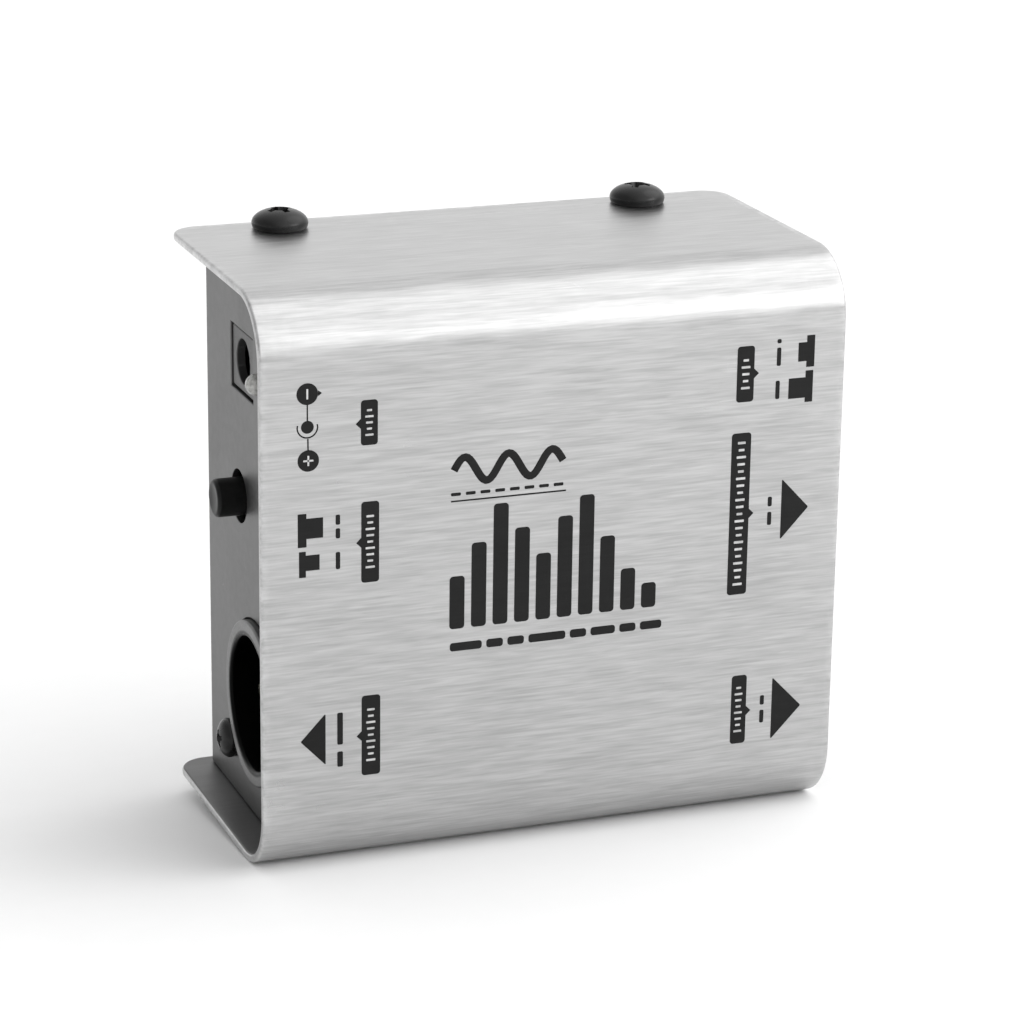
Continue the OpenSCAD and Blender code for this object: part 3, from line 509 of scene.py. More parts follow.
def tone(r, g, b):
    return (r, g, b, 1.0)


def paler(colour, gain, lift=0.0):
    return tuple(min(1.0, c * gain + lift) for c in colour[:3]) + (1.0,)


def brushed_metal(name, dark, light, lines, rough, rough_spread, relief, wear,
                  anisotropy=0.0, turn=0.0, inner_shade=None):
    """Brushed sheet: drawn lines vary tone, gloss and relief; its inner side may get painted shade and
    duller gloss.
    """
    tree, shader = new_finish(name, Metallic=1.0, Anisotropic=anisotropy,
                              Anisotropic_Rotation=turn)
    grain = effect(tree, brushed_grain, Lines_per_Metre=lines, Streak_Share=0.35)
    marks = effect(tree, handling_marks, Marks_per_Metre=38.0)
    worn = effect(tree, edge_wear, Reach=0.05, Breakup_per_Metre=700.0)
    shade = math_node(tree, "ADD", spread(tree, grain["Grain"], 0.36, 0.64, 0.0, 0.9),
                      spread(tree, grain["Patches"], 0.35, 0.65, 0.0, 0.1), clamp=True)
    body = mix_colour(tree, shade, dark, light)
    lined = mix_colour(tree, times(tree, grain["Streaks"], 0.5), body, paler(light, 1.18))
    edged = mix_colour(tree, times(tree, worn["Wear"], wear), lined, grey(0.8))
    drawn = spread(tree, grain["Grain"], 0.3, 0.7, rough - rough_spread, rough + rough_spread)
    gloss = math_node(tree, "ADD", drawn, times(tree, marks["Smudge"], 0.05))
    # Painted shade: faces that look into the cover are darkened toward the given shade colour and made
    # rougher.
    if inner_shade:
        outward = vector_math(tree, "SUBTRACT", object_place(tree), tuple(middle("cover") * MM))
        facing = vector_measure(tree, "DOT_PRODUCT", outward, surface_normal(tree))
        behind = spread(tree, facing, -0.004, 0.0, 1.0, 0.0)
        edged = mix_colour(tree, behind, edged, inner_shade)
        gloss = math_node(tree, "ADD", gloss, times(tree, behind, 0.12))
    tree.links.new(edged, shader.inputs["Base Color"])
    gloss = math_node(tree, "SUBTRACT", gloss, times(tree, marks["Scratch"], 0.12))
    tree.links.new(gloss, shader.inputs["Roughness"])
    if anisotropy:
        along = tree.nodes.new("ShaderNodeTangent")
        along.direction_type = "RADIAL"
        along.axis = "X"
        tree.links.new(along.outputs["Tangent"], shader.inputs["Tangent"])
    groove = times(tree, marks["Scratch"], 0.5)
    bump(tree, shader, math_node(tree, "SUBTRACT", grain["Grain"], groove), relief)


def turned_metal(name, dark, light, rough):
    """Machined and plated metal with fine tool lines round its axis."""
    tree, shader = new_finish(name, Metallic=1.0)
    grain = effect(tree, brushed_grain, Lines_per_Metre=(2600.0, 200.0, 200.0), Streak_Share=0.25)
    marks = effect(tree, handling_marks, Marks_per_Metre=90.0)
    worn = effect(tree, edge_wear, Reach=0.05, Breakup_per_Metre=2600.0)
    body = mix_colour(tree, spread(tree, grain["Grain"], 0.3, 0.7), dark, light)
    dulled = mix_colour(tree, times(tree, marks["Smudge"], 0.35), body, dark)
    edged = mix_colour(tree, times(tree, worn["Wear"], 0.7), dulled, light)
    tree.links.new(edged, shader.inputs["Base Color"])
    gloss = math_node(tree, "ADD", spread(tree, grain["Grain"], 0.3, 0.7, rough - 0.05, rough + 0.05),
                      times(tree, marks["Smudge"], 0.1))
    tree.links.new(gloss, shader.inputs["Roughness"])
    bump(tree, shader, grain["Grain"], 0.000006)


def moulded(name, dark, light, rough, pebbles=5000.0, relief=0.00001, worn_tone=None, **fixed):
    """Moulded plastic, rubber, paint or black oxide: faint pebble, patches and paler edges."""
    tree, shader = new_finish(name, **fixed)
    skin = effect(tree, moulded_skin, Pebbles_per_Metre=pebbles)
    marks = effect(tree, handling_marks, Marks_per_Metre=110.0)
    worn = effect(tree, edge_wear, Reach=0.08, Breakup_per_Metre=1200.0)
    edged = mix_colour(tree, times(tree, worn["Wear"], 0.55),
                       patchy(tree, skin, dark, light), worn_tone or paler(light, 2.2, 0.02))
    tree.links.new(edged, shader.inputs["Base Color"])
    uneven = spread(tree, skin["Patches"], 0.3, 0.7, rough - 0.06, rough + 0.06)
    gloss = math_node(tree, "ADD", uneven, times(tree, marks["Smudge"], 0.08))
    tree.links.new(gloss, shader.inputs["Roughness"])
    bump(tree, shader, skin["Height"], relief)


# The cover's inner faces are darkened to grey(0.13): painted shade.
brushed_metal("brushed_cover", grey(0.39), grey(0.53), (150.0, 3400.0, 3400.0), 0.33, 0.04, 0.000006,
              0.4, 0.5, 0.25, grey(0.13))
brushed_metal("satin_chassis", grey(0.122), grey(0.15), (700.0, 160.0, 700.0), 0.43, 0.03, 0.000002,
              0.02)
moulded("black_screw", grey(0.004), grey(0.007), 0.26, 2600.0, 0.000003, grey(0.02),
        Metallic=0.0, Specular_IOR_Level=0.3)
moulded("foot_rubber", grey(0.014), grey(0.024), 0.72, 3600.0, 0.00003, grey(0.05),
        Sheen_Weight=0.15, Sheen_Roughness=0.5)
turned_metal("satin_nickel", tone(0.30, 0.298, 0.29), tone(0.46, 0.457, 0.45), 0.3)
moulded("black_insulator", grey(0.007), grey(0.014), 0.45, 4200.0, 0.00001, Specular_IOR_Level=0.3)
turned_metal("contact_metal", tone(0.62, 0.58, 0.48), tone(0.80, 0.76, 0.64), 0.24)
moulded("wire_sleeve", tone(0.30, 0.02, 0.02), tone(0.40, 0.03, 0.03), 0.4, 3000.0)
turned_metal("tinned_leads", grey(0.55), grey(0.72), 0.36)
moulded("pale_plunger", tone(0.66, 0.64, 0.58), tone(0.74, 0.72, 0.66), 0.42, 3200.0,
        Subsurface_Weight=0.08)
turned_metal("spring_steel", grey(0.45), grey(0.62), 0.27)
moulded("black_button", grey(0.004), grey(0.007), 0.36, 3400.0, 0.000004, grey(0.015),
        Specular_IOR_Level=0.16)
turned_metal("standoff_brass", tone(0.55, 0.40, 0.16), tone(0.74, 0.58, 0.28), 0.3)
moulded("film_red", tone(0.34, 0.03, 0.02), tone(0.44, 0.05, 0.03), 0.3, 2200.0, Coat_Weight=0.4)


def make_lens():
    """The lamp's lens: pale, cloudy and slightly clear."""
    tree, shader = new_finish("lamp_lens", Metallic=0.0, IOR=1.49, Transmission_Weight=0.35,
                              Coat_Weight=0.3)
    skin = effect(tree, moulded_skin, Pebbles_per_Metre=1400.0)
    cloud = mix_colour(tree, spread(tree, skin["Height"], 0.35, 0.65), tone(0.42, 0.42, 0.40),
                       tone(0.86, 0.86, 0.83))
    coat(tree, shader, cloud, skin["Patches"], 0.16, 0.34, skin["Height"], 0.00003)


def make_board():
    """Solder mask over copper: paler where tracks run beneath it."""
    tree, shader = new_finish("board_green", Metallic=0.0, Coat_Weight=0.5, Coat_Roughness=0.2)
    tracks = tree.nodes.new("ShaderNodeTexBrick")
    tracks.offset = 0.37
    tracks.squash = 0.6
    turn = tree.nodes.new("ShaderNodeMapping")
    turn.inputs["Rotation"].default_value = (math.pi / 2, 0, 0)
    tree.links.new(object_place(tree), turn.inputs["Vector"])
    tree.links.new(turn.outputs["Vector"], tracks.inputs["Vector"])
    tracks.inputs["Scale"].default_value = 140.0
    tracks.inputs["Mortar Size"].default_value = 0.045
    tracks.inputs["Mortar Smooth"].default_value = 0.2
    tracks.inputs["Brick Width"].default_value = 1.3
    tracks.inputs["Row Height"].default_value = 0.36
    skin = effect(tree, moulded_skin, Pebbles_per_Metre=1500.0)
    mask = patchy(tree, skin, tone(0.008, 0.060, 0.028), tone(0.012, 0.080, 0.036))
    board = mix_colour(tree, tracks.outputs["Fac"], mask, tone(0.030, 0.17, 0.075))
    coat(tree, shader, board, skin["Height"], 0.28, 0.42, tracks.outputs["Fac"], 0.00003)


def make_can_sleeve():
    """Shrunk sleeve with a pale stripe on one side of each can."""
    tree, shader = new_finish("can_sleeve", Metallic=0.0, Coat_Weight=0.3)
    skin = effect(tree, moulded_skin, Pebbles_per_Metre=1800.0)
    facing = tree.nodes.new("ShaderNodeSeparateXYZ")
    tree.links.new(surface_normal(tree), facing.inputs[0])
    stripe = spread(tree, facing.outputs["X"], 0.86, 0.90)
    body = patchy(tree, skin, tone(0.010, 0.014, 0.05), tone(0.016, 0.022, 0.08))
    sleeve = mix_colour(tree, stripe, body, tone(0.55, 0.57, 0.6))
    end = spread(tree, facing.outputs["Y"], -0.97, -0.93, 1.0, 0.0)
    can = mix_colour(tree, end, sleeve, grey(0.62))
    coat(tree, shader, can, skin["Height"], 0.26, 0.38, skin["Height"], 0.00001)


def make_resistor():
    """Pale blue lacquer with colour bands along the body."""
    tree, shader = new_finish("resistor_blue", Metallic=0.0, Coat_Weight=0.35)
    bands = tree.nodes.new("ShaderNodeTexWave")
    bands.bands_direction = "X"
    tree.links.new(object_place(tree), bands.inputs["Vector"])
    bands.inputs["Scale"].default_value = 180.0
    bands.inputs["Distortion"].default_value = 0.0
    skin = effect(tree, moulded_skin, Pebbles_per_Metre=1600.0)
    body = patchy(tree, skin, tone(0.20, 0.36, 0.46), tone(0.28, 0.46, 0.56))
    mark = mix_colour(tree, spread(tree, skin["Patches"], 0.4, 0.6), tone(0.12, 0.03, 0.01),
                      grey(0.02))
    banded = mix_colour(tree, spread(tree, bands.outputs["Fac"], 0.86, 0.92), body, mark)
    coat(tree, shader, banded, skin["Height"], 0.26, 0.4, skin["Height"], 0.00001)


def make_ink():
    """Printed ink: near black, slightly thin where the grain shows through."""
    tree, shader = new_finish("printed_ink", Metallic=0.0, Specular_IOR_Level=0.16)
    grain = effect(tree, brushed_grain, Lines_per_Metre=(120.0, 3200.0, 3200.0), Streak_Share=0.3)
    skin = effect(tree, moulded_skin, Pebbles_per_Metre=9000.0)
    drift = spread(tree, skin["Patches"], 0.3, 0.7, 0.5, 1.0)
    thin = times(tree, grain["Grain"], drift)
    ink = mix_colour(tree, thin, grey(0.006), grey(0.016))
    coat(tree, shader, ink, skin["Height"], 0.52, 0.64, grain["Grain"], 0.000006)


def painted_bore_shade(name, axis, bore, dark, light, rough, metallic):
    """A socket end whose bore, of a radius in metres about an axis along X, is painted near black as
    shade.
    """
    tree, shader = new_finish(name, Metallic=metallic)
    skin = effect(tree, moulded_skin, Pebbles_per_Metre=2600.0)
    offset = vector_math(tree, "SUBTRACT", object_place(tree), tuple(axis * MM))
    from_axis = vector_measure(tree, "LENGTH", vector_math(tree, "MULTIPLY", offset, (0.0, 1.0, 1.0)))
    rim = spread(tree, from_axis, bore, bore + 0.0003)
    # Inside the bore radius the colour is near black: painted shade in the hole.
    bore_shaded_colour = mix_colour(tree, rim, grey(0.006), patchy(tree, skin, dark, light))
    coat(tree, shader, bore_shaded_colour, skin["Height"], rough - 0.05, rough + 0.05, skin["Height"], 0.000006)


make_lens()
make_board()
make_can_sleeve()
make_resistor()
make_ink()
inlet_bore_up = 5.0
inlet_axis = Vector((0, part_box("inlet_housing")[0].y / MM + inlet_bore_up, middle("inlet_housing").z))
output_at = middle("output_shell")
# The inlet's bore and the output shell's bore are painted near black: painted shade.
painted_bore_shade("grey_housing", inlet_axis, 0.0031, grey(0.075), grey(0.11), 0.5, 0.0)
painted_bore_shade("socket_shell", output_at, 0.0101, grey(0.15), grey(0.19), 0.41, 1.0)

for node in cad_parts.values():
    for slot in node.material_slots:
        slot.material = finishes[slot.material.name.split(".")[0]]


def finish(piece, slot, body="box", look=None):
    """Gives a piece its material, from look or else from slot, and its body."""
    piece.data.materials.clear()
    piece.data.materials.append(finishes[look or slot])
    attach(piece, body)
    return piece


# ---- camera, lights and floor

camera_at = Vector((-169.05, -452.0, 199.06)) * MM
swing, dip, lean = math.radians(-20.74), math.radians(17.78), math.radians(0.775)
ahead = Vector((-math.sin(swing) * math.cos(dip), math.cos(swing) * math.cos(dip), -math.sin(dip)))
level = Vector((math.cos(swing), math.sin(swing), 0))
rise = level.cross(ahead)
camera_right = math.cos(lean) * level + math.sin(lean) * rise
camera_up = camera_right.cross(ahead)
lens = bpy.data.cameras.new("camera")
lens.lens = 125.72
lens.sensor_width = 36
lens.clip_start = 0.01
lens.clip_end = 60
camera = bpy.data.objects.new("camera", lens)
camera.matrix_world = Matrix((
    (camera_right.x, camera_up.x, -ahead.x, camera_at.x),
    (camera_right.y, camera_up.y, -ahead.y, camera_at.y),
    (camera_right.z, camera_up.z, -ahead.z, camera_at.z),
    (0, 0, 0, 1)))
scene.collection.objects.link(camera)
scene.camera = camera
scene.view_settings.view_transform = "Standard"
scene.view_settings.look = "None"

# The box leans forward: it stands on its lower screw heads and on the cover's front bend.
# The heads touch the floor head_contact in front of their middle.
bend_radius = 9.1
cover_head_d, cover_head_h = 8.0, 2.8
head_contact = 1.43
floor_gap = 0.02
screw_low, screw_high = [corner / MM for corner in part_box("cover_screws")]
screw_x = (screw_low.x + cover_head_d / 2, screw_high.x - cover_head_d / 2)
screw_y = (screw_low.y + screw_high.y) / 2
heel_y = screw_y - head_contact
toe_y, toe_z = cover_low.y + bend_radius, cover_low.z + bend_radius
reach = math.hypot(heel_y - toe_y, toe_z - screw_low.z)
slope = math.atan2(toe_z - screw_low.z, heel_y - toe_y) - math.asin(bend_radius / reach)
clear_bench()
bpy.ops.mesh.primitive_plane_add(size=16)
floor = bpy.context.object
floor.name = "floor"
open_up(floor)
take_all()
bpy.ops.mesh.subdivide(number_cuts=7)
close_up()
place(floor, shift(0, heel_y, screw_low.z - floor_gap) @ spin(-slope, "X"))
floor_tree, floor_shader = new_finish("pale_floor", Metallic=0.0, Specular_IOR_Level=0.2)
floor_skin = effect(floor_tree, moulded_skin, Pebbles_per_Metre=220.0)
floor_tree.links.new(mix_colour(floor_tree, floor_skin["Patches"], grey(0.86), grey(0.88)),
                     floor_shader.inputs["Base Color"])
floor_tree.links.new(spread(floor_tree, floor_skin["Height"], 0.3, 0.7, 0.62, 0.7),
                     floor_shader.inputs["Roughness"])
floor.data.materials.append(finishes["pale_floor"])


def aim(lamp, at, target):
    lamp.location = Vector(at)
    lamp.rotation_euler = (Vector(target) - Vector(at)).to_track_quat("-Z", "Y").to_euler()
    scene.collection.objects.link(lamp)


def sunlight(name, strength, spread_angle, direction):
    light = bpy.data.lights.new(name, "SUN")
    light.energy = strength
    light.angle = math.radians(spread_angle)
    aim(bpy.data.objects.new(name, light), direction, (0, 0, 0))


def softbox(name, power, width, height, at, target):
    light = bpy.data.lights.new(name, "AREA")
    light.shape = "RECTANGLE"
    light.size = width
    light.size_y = height
    light.energy = power
    aim(bpy.data.objects.new(name, light), at, target)


sunlight("overhead_light", 0.55, 50, (0.9, 0.05, 1.0))
softbox("right_fill", 0.9, 0.3, 0.3, (0.42, -0.36, 0.28), (0.3, -0.3, 0.0))

surroundings = bpy.data.worlds.new("studio")
surroundings.use_nodes = True
scene.world = surroundings
sky = surroundings.node_tree
direction = sky.nodes.new("ShaderNodeTexCoord").outputs["Generated"]
split = sky.nodes.new("ShaderNodeSeparateXYZ")
sky.links.new(direction, split.inputs[0])
back_share = spread(sky, split.outputs["Y"], -0.8, 0.6)
horizon = mix_colour(sky, back_share, grey(0.5), grey(1.0))
lit_side = mix_colour(sky, back_share, grey(1.95), grey(1.15))
ceiling = mix_colour(sky, spread(sky, split.outputs["X"], -0.6, 0.25), grey(0.55), lit_side)
ceiling_share = spread(sky, split.outputs["Z"], 0.06, 0.26)
sky.links.new(mix_colour(sky, ceiling_share, horizon, ceiling),
              sky.nodes["Background"].inputs["Color"])
sky.nodes["Background"].inputs["Strength"].default_value = 1.0

# ---- cover

cover_t = 1.2
flange_corner = 4.0
sheet_edge = 0.42
screw_hole_d = 4.4
# Loops near the edges and the screw holes keep the wear of the corners off the flat sheet.
edge_loop, hole_loop = 1.3, 3.2


def make_cover():
    """The bent sheet, behind the face plane by the thickness of the print."""
    low = Vector((cover_low.x, face_y + ink_rise, cover_low.z))
    cover = block("cover_shell", low, cover_high)
    open_up(cover)
    pick("FACE", lambda at, way: abs(way.x) > 0.9 or way.y > 0.9)
    bpy.ops.mesh.delete(type="FACE")
    round_edges(bend_radius, 18, lambda at, way: abs(way.x) > 0.9 and at.y < low.y + 0.1)
    pick("VERT", lambda at, way: at.y > cover_high.y - 0.1)
    bpy.ops.mesh.bevel(offset=flange_corner * MM, segments=10, profile=0.5, affect="VERTICES")
    close_up()
    apply(cover, "SOLIDIFY", thickness=cover_t * MM, offset=-1, use_even_offset=True)
    soften(cover, sheet_edge, 3, 40)
    open_up(cover)
    loops_x = [low.x + edge_loop, cover_high.x - edge_loop]
    loops_x += [x + side * hole_loop for x in screw_x for side in (-1, 1)]
    loops_y = [cover_high.y - edge_loop, cover_high.y - flange_corner - 1.0,
               screw_y - hole_loop, screw_y + hole_loop]
    loops = [((x, 0, 0), (1, 0, 0)) for x in loops_x] + [((0, y, 0), (0, 1, 0)) for y in loops_y]
    for at, way in loops:
        take_all()
        bpy.ops.mesh.bisect(plane_co=Vector(at) * MM, plane_no=way)
    close_up()
    for x in screw_x:
        cut(cover, place(rod("hole", screw_hole_d, -5, 100), shift(x, screw_y)))
    smooth(cover, 30)
    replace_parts(cover, "cover")
    finish(cover, "brushed_cover")


make_cover()

# ---- print on the front face


def on_face(x, z):
    """A point of the face, in millimetres from its left and lower edges."""
    return cover_low.x + x, cover_low.z + z


def ink_bar(x0, x1, z0, z1, corner, sunk=ink_sunk):
    """A printed bar or plate with rounded corners."""
    (left, bottom), (right, top) = on_face(x0, z0), on_face(x1, z1)
    bar = block("bar", (left, face_y + sunk, bottom), (right, face_y + ink_t, top))
    open_up(bar)
    round_edges(corner, 4, lambda at, way: abs(way.y) > 0.9)
    close_up()
    return bar


def ink_round(x, z, diameter):
    """A printed dot."""
    depth, edge = 0.07, 0.01
    left, bottom = on_face(x, z)
    dot = soften(rod("dot", diameter, -depth, -ink_sunk), edge, 1)
    return place(dot, shift(left, face_y, bottom) @ spin(math.pi / 2, "X"))


def ink_arrow(base_x, tip_x, z0, z1):
    """A triangle with its base upright at base_x, pointing to tip_x, with a slightly blunt tip."""
    blunt, base_corner = 0.02, 0.03 * (z1 - z0)
    base, bottom = on_face(base_x, z0)
    tip, top = on_face(tip_x, z1)
    wedge = block("arrow", (min(base, tip), face_y + ink_sunk, bottom),
                  (max(base, tip), face_y + ink_t, top))
    open_up(wedge)
    pick("VERT", lambda at, way: abs(at.x - tip) < 0.01)
    bpy.ops.transform.resize(value=(1, 1, blunt))
    round_edges(base_corner, 2, lambda at, way: abs(way.y) > 0.9 and abs(at.x - base) < 0.01)
    close_up()
    return wedge


def ink_stroke(points, width):
    """A line of even width through face points: a round strand pressed flat on the face."""
    on_plane = [on_face(x, z) for x, z in points]
    stroke = strand("stroke", [Vector((left, 0, bottom)) for left, bottom in on_plane], width, 3)
    press = Matrix.Diagonal((1, ink_t / width, 1, 1))
    return [place(stroke, shift(0, face_y + ink_sunk + ink_t / 2) @ press)]


def ink_words(x0, x1, z_top, lengths, gap=0.8, width=0.62):
    """Plain dashes down the face, where small words would stand."""
    parts, z = [], z_top
    middle_x = (x0 + x1) / 2
    for length in lengths:
        parts.append(ink_bar(middle_x - width / 2, middle_x + width / 2, z - length, z, 0.2))
        z -= length + gap
    return parts


def print_on_face(name, parts):
    finish(join(name, parts), "brushed_cover", look="printed_ink")


def label_plate(x0, x1, z0, z1, points_to, pointer_z=None):
    """A dark plate with a small pointer towards its socket or button."""
    corner, pointer = 0.45, 0.7
    plate = ink_bar(x0, x1, z0, z1, corner)
    z = (z0 + z1) / 2 if pointer_z is None else pointer_z
    x = x0 if points_to < 0 else x1
    return [plate, ink_arrow(x, x + points_to * pointer, z - pointer, z + pointer)]


def clear_ticks(x0, x1, z0, z1, count):
    """Bare ticks across a plate, where metal shows through the ink."""
    lengths, corner = (1.0, 0.62, 0.82), 0.08
    step = (z1 - z0) / count
    middle_x, half_w = (x0 + x1) / 2, step * 0.17
    ticks = []
    for i in range(count):
        z = z0 + (i + 0.5) * step
        half = (x1 - x0) / 2 * lengths[i % 3]
        ticks.append(ink_bar(middle_x - half, middle_x + half, z - half_w, z + half_w, corner, 0.0))
    return ticks


def button_icon(wall_x, face_x, stem_x, z0, z1, stem_z0, stem_z1):
    """A push button seen from the side: its plate and its stem."""
    corner = 0.06
    return [ink_bar(min(wall_x, face_x), max(wall_x, face_x), z0, z1, corner),
            ink_bar(min(face_x, stem_x), max(face_x, stem_x), stem_z0, stem_z1, corner)]


# Left column: low-voltage inlet, ground button, output connector.
hairline, ring_r = 0.24, 1.4
polarity = [ink_round(6.5, 68.3, 2.95), ink_round(6.5, 63.8, 1.75), ink_round(6.6, 59.2, 2.95)]
polarity += ink_stroke([(6.5, 66.85), (6.5, 64.68)], hairline)
polarity += ink_stroke([(6.55, 62.2), (6.58, 60.66)], hairline)
polarity += ink_stroke([(6.5 + ring_r * math.sin(math.radians(a)),
                         63.75 - ring_r * math.cos(math.radians(a)))
                        for a in range(-105, 106, 15)], hairline)
polarity.append(ink_arrow(7.98, 8.5, 67.9, 68.7))
print_on_face("print_inlet_polarity", polarity)
print_on_face("print_inlet_plate", label_plate(13.85, 16.2, 60.6, 66.8, -1, 63.6))
ground_print = label_plate(13.9, 16.4, 41.5, 52.8, -1)
ground_print += button_icon(5.1, 6.3, 8.6, 47.3, 51.95, 48.45, 51.25)
ground_print += button_icon(5.25, 6.2, 8.1, 43.1, 46.7, 44.0, 46.15)
ground_print += ink_words(9.9, 11.4, 51.4, [1.4, 1.4], 0.5) + ink_words(9.9, 11.4, 46.2, [2.4])
print_on_face("print_ground", ground_print)
output_print = label_plate(13.95, 16.6, 13.9, 25.4, -1)
output_print.append(ink_arrow(8.85, 5.4, 16.1, 23.5))
output_print += ink_words(9.9, 11.9, 23.4, [4.6, 2.2], 1.0, 0.8)
print_on_face("print_output", output_print)

# Right column: attenuator button, link socket, input socket.
pad_print = label_plate(67.75, 70.3, 61.7, 69.6, 1)
pad_print += button_icon(79.3, 78.1, 76.85, 65.9, 70.4, 66.75, 69.45)
pad_print += button_icon(79.2, 78.05, 75.55, 60.9, 65.4, 61.55, 64.45)
pad_print += ink_words(73.0, 74.9, 70.2, [0.6, 2.6], 0.6) + ink_words(73.0, 74.8, 64.3, [2.6])
print_on_face("print_attenuator", pad_print)
link_print = label_plate(67.3, 70.2, 33.9, 57.3, 1, 45.6)
link_print.append(ink_arrow(75.1, 79.15, 41.3, 50.1))
link_print += ink_words(72.4, 74.3, 47.7, [1.4, 1.9], 0.8)
print_on_face("print_link", link_print)
input_print = label_plate(68.5, 70.8, 11.6, 21.8, 1, 16.4)
input_print.append(ink_arrow(74.75, 79.15, 11.6, 20.9))
input_print += ink_words(72.3, 74.2, 18.4, [1.4, 1.9], 0.8)
print_on_face("print_input", input_print)

# Middle: a level meter, a wave over a thin rule, and a row of dashes.
meter_left, meter_right, meter_foot, meter_bar_w = 26.4, 57.5, 33.5, 2.15
meter_heights = (7.5, 12.0, 17.2, 13.5, 9.5, 14.5, 17.2, 11.0, 6.0, 3.6)
meter_pitch = (meter_right - meter_left) / len(meter_heights)
meter_x = [meter_left + i * meter_pitch for i in range(len(meter_heights))]
print_on_face("print_level_meter", [ink_bar(x, x + meter_bar_w, meter_foot, meter_foot + h, 0.5)
                                    for x, h in zip(meter_x, meter_heights)])
wave_left, wave_l, wave_z, wave_rise, wave_count, wave_steps = 26.9, 15.6, 55.9, 1.75, 2.5, 48
rule_left, rule_right = 26.5, 43.0
small_dash, small_pitch = 1.4, 2.1
wave_print = ink_stroke([(wave_left + wave_l * i / wave_steps,
                          wave_z + wave_rise * math.sin(math.tau * wave_count * i / wave_steps))
                         for i in range(wave_steps + 1)], 1.25)
wave_print.append(ink_bar(rule_left, rule_right, 51.5, 51.72, 0.05))
wave_print += [ink_bar(x, x + small_dash, 52.35, 52.8, 0.15)
               for x in (rule_left + small_pitch * i for i in range(8))]
print_on_face("print_wave", wave_print)
dash_gap = 0.66
dashes, dash_x = [], rule_left
for length in (4.6, 2.4, 2.4, 5.4, 2.4, 3.6, 2.4, 3.2):
    dashes.append(ink_bar(dash_x, dash_x + length, 30.3, 31.5, 0.4))
    dash_x += length + dash_gap
print_on_face("print_dashes", dashes)

bare = clear_ticks(14.45, 15.6, 61.6, 65.8, 5)
bare += clear_ticks(14.5, 15.8, 43.2, 51.2, 9) + clear_ticks(14.6, 15.9, 15.6, 23.8, 9)
bare += clear_ticks(68.4, 69.7, 63.2, 68.1, 5) + clear_ticks(68.1, 69.5, 34.9, 56.4, 21)
bare += clear_ticks(69.0, 70.2, 13.0, 20.4, 8)
bare += [ink_bar(6.38, 6.62, 67.6, 69.0, 0.05, 0.0), ink_bar(6.48, 6.72, 58.5, 59.9, 0.05, 0.0),
         ink_bar(5.9, 7.3, 59.08, 59.32, 0.05, 0.0)]
finish(join("print_bare_lines", bare), "brushed_cover")

# ---- screws


def pan_screw(name, head, head_h, thread, length, pitch):
    """A domed pan-head screw with a cross recess: the head stands on Z = 0."""
    radius, core, tip = head / 2, thread / 2 - 0.3 * pitch, 0.15 * thread
    outline = [(0, -length), (core - tip, -length), (core, -length + tip)]
    z = -length + tip + pitch / 2
    while z < -pitch:
        outline += [(core, z - 0.3 * pitch), (thread / 2, z), (core, z + 0.3 * pitch)]
        z += pitch
    rim = 0.27 * head_h
    outline += [(thread / 2, -0.2), (thread / 2, 0), (0.93 * radius, 0), (0.975 * radius, 0.35 * rim)]
    outline += [(radius * math.cos(math.radians(a)), rim + (head_h - rim) * math.sin(math.radians(a)))
                for a in range(0, 89, 8)] + [(0, head_h)]
    screw = turned(name, outline, 56)
    slot_w, slot_l = 0.13 * head, 0.52 * head
    slot_floor, slot_top = head_h - 0.55 * head_h, head_h + 0.3
    tool = rod("recess", 1.4 * slot_w, slot_floor, slot_top, 24, 2.6 * slot_w)
    for turn in (0, math.pi / 2):
        arm = block("arm", (-slot_l / 2, -slot_w / 2, slot_floor), (slot_l / 2, slot_w / 2, slot_top))
        open_up(arm)
        pick("FACE", lambda at, way: way.z < -0.9)
        bpy.ops.transform.resize(value=(0.62, 0.7, 1))
        close_up()
        fuse(tool, place(arm, spin(turn)))
    cut(screw, tool)
    return smooth(screw, 28)


cover_screw = pan_screw("cover_screw_1", cover_head_d, cover_head_h, 4.0, 8.0, 0.7)
twists = (0.35, 1.0, 0.6, 0.1)
spots = [(x, z) for z in (cover_high.z, cover_low.z) for x in screw_x]
for i, ((x, z), twist) in enumerate(zip(spots, twists)):
    flip = math.pi if z == cover_low.z else 0
    screw = copied(cover_screw, f"cover_screw_{i + 2}") if i < 3 else cover_screw
    place(screw, shift(x, screw_y, z) @ spin(flip, "X") @ spin(twist))
    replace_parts(finish(screw, "black_screw"), "cover_screws")

small_head_d, small_head_h = 5.7, 2.19


def small_screws(node, length, places):
    """M3 screws of one length at each place, standing for one CAD node."""
    small_screw = pan_screw("small_screw", small_head_d, small_head_h, 3.0, length, 0.5)
    for i, (matrix, twist) in enumerate(places):
        screw = copied(small_screw, f"{node[:-1]}_{i + 1}")
        place(screw, matrix @ spin(twist))
        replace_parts(finish(screw, "black_screw"), node)
    bpy.data.objects.remove(small_screw)


flange_dy, flange_dz = 12.0, 9.5
small_screws("output_screws", 7.0,
             [(on_left(output_at.y + flange_dy, output_at.z - flange_dz), 0.4),
              (on_left(output_at.y - flange_dy, output_at.z + flange_dz), 1.1)])
group_low, group_high = [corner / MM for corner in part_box("standoff_screws")]
head_r = small_head_d / 2
standoff_spots = [(group_low.x + head_r, group_high.z - head_r), (18.0, group_high.z - head_r),
                  (group_high.x - head_r, 33.7), (group_low.x + 14.95, group_low.z + head_r)]
small_screws("standoff_screws", 5.2, [(on_back(x, z), 0.5 + 0.7 * i)
                                      for i, (x, z) in enumerate(standoff_spots)])

# ---- chassis and feet

chassis = softened_twin("chassis", "chassis_shell", 0.14)
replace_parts(finish(chassis, "satin_chassis"), "chassis")

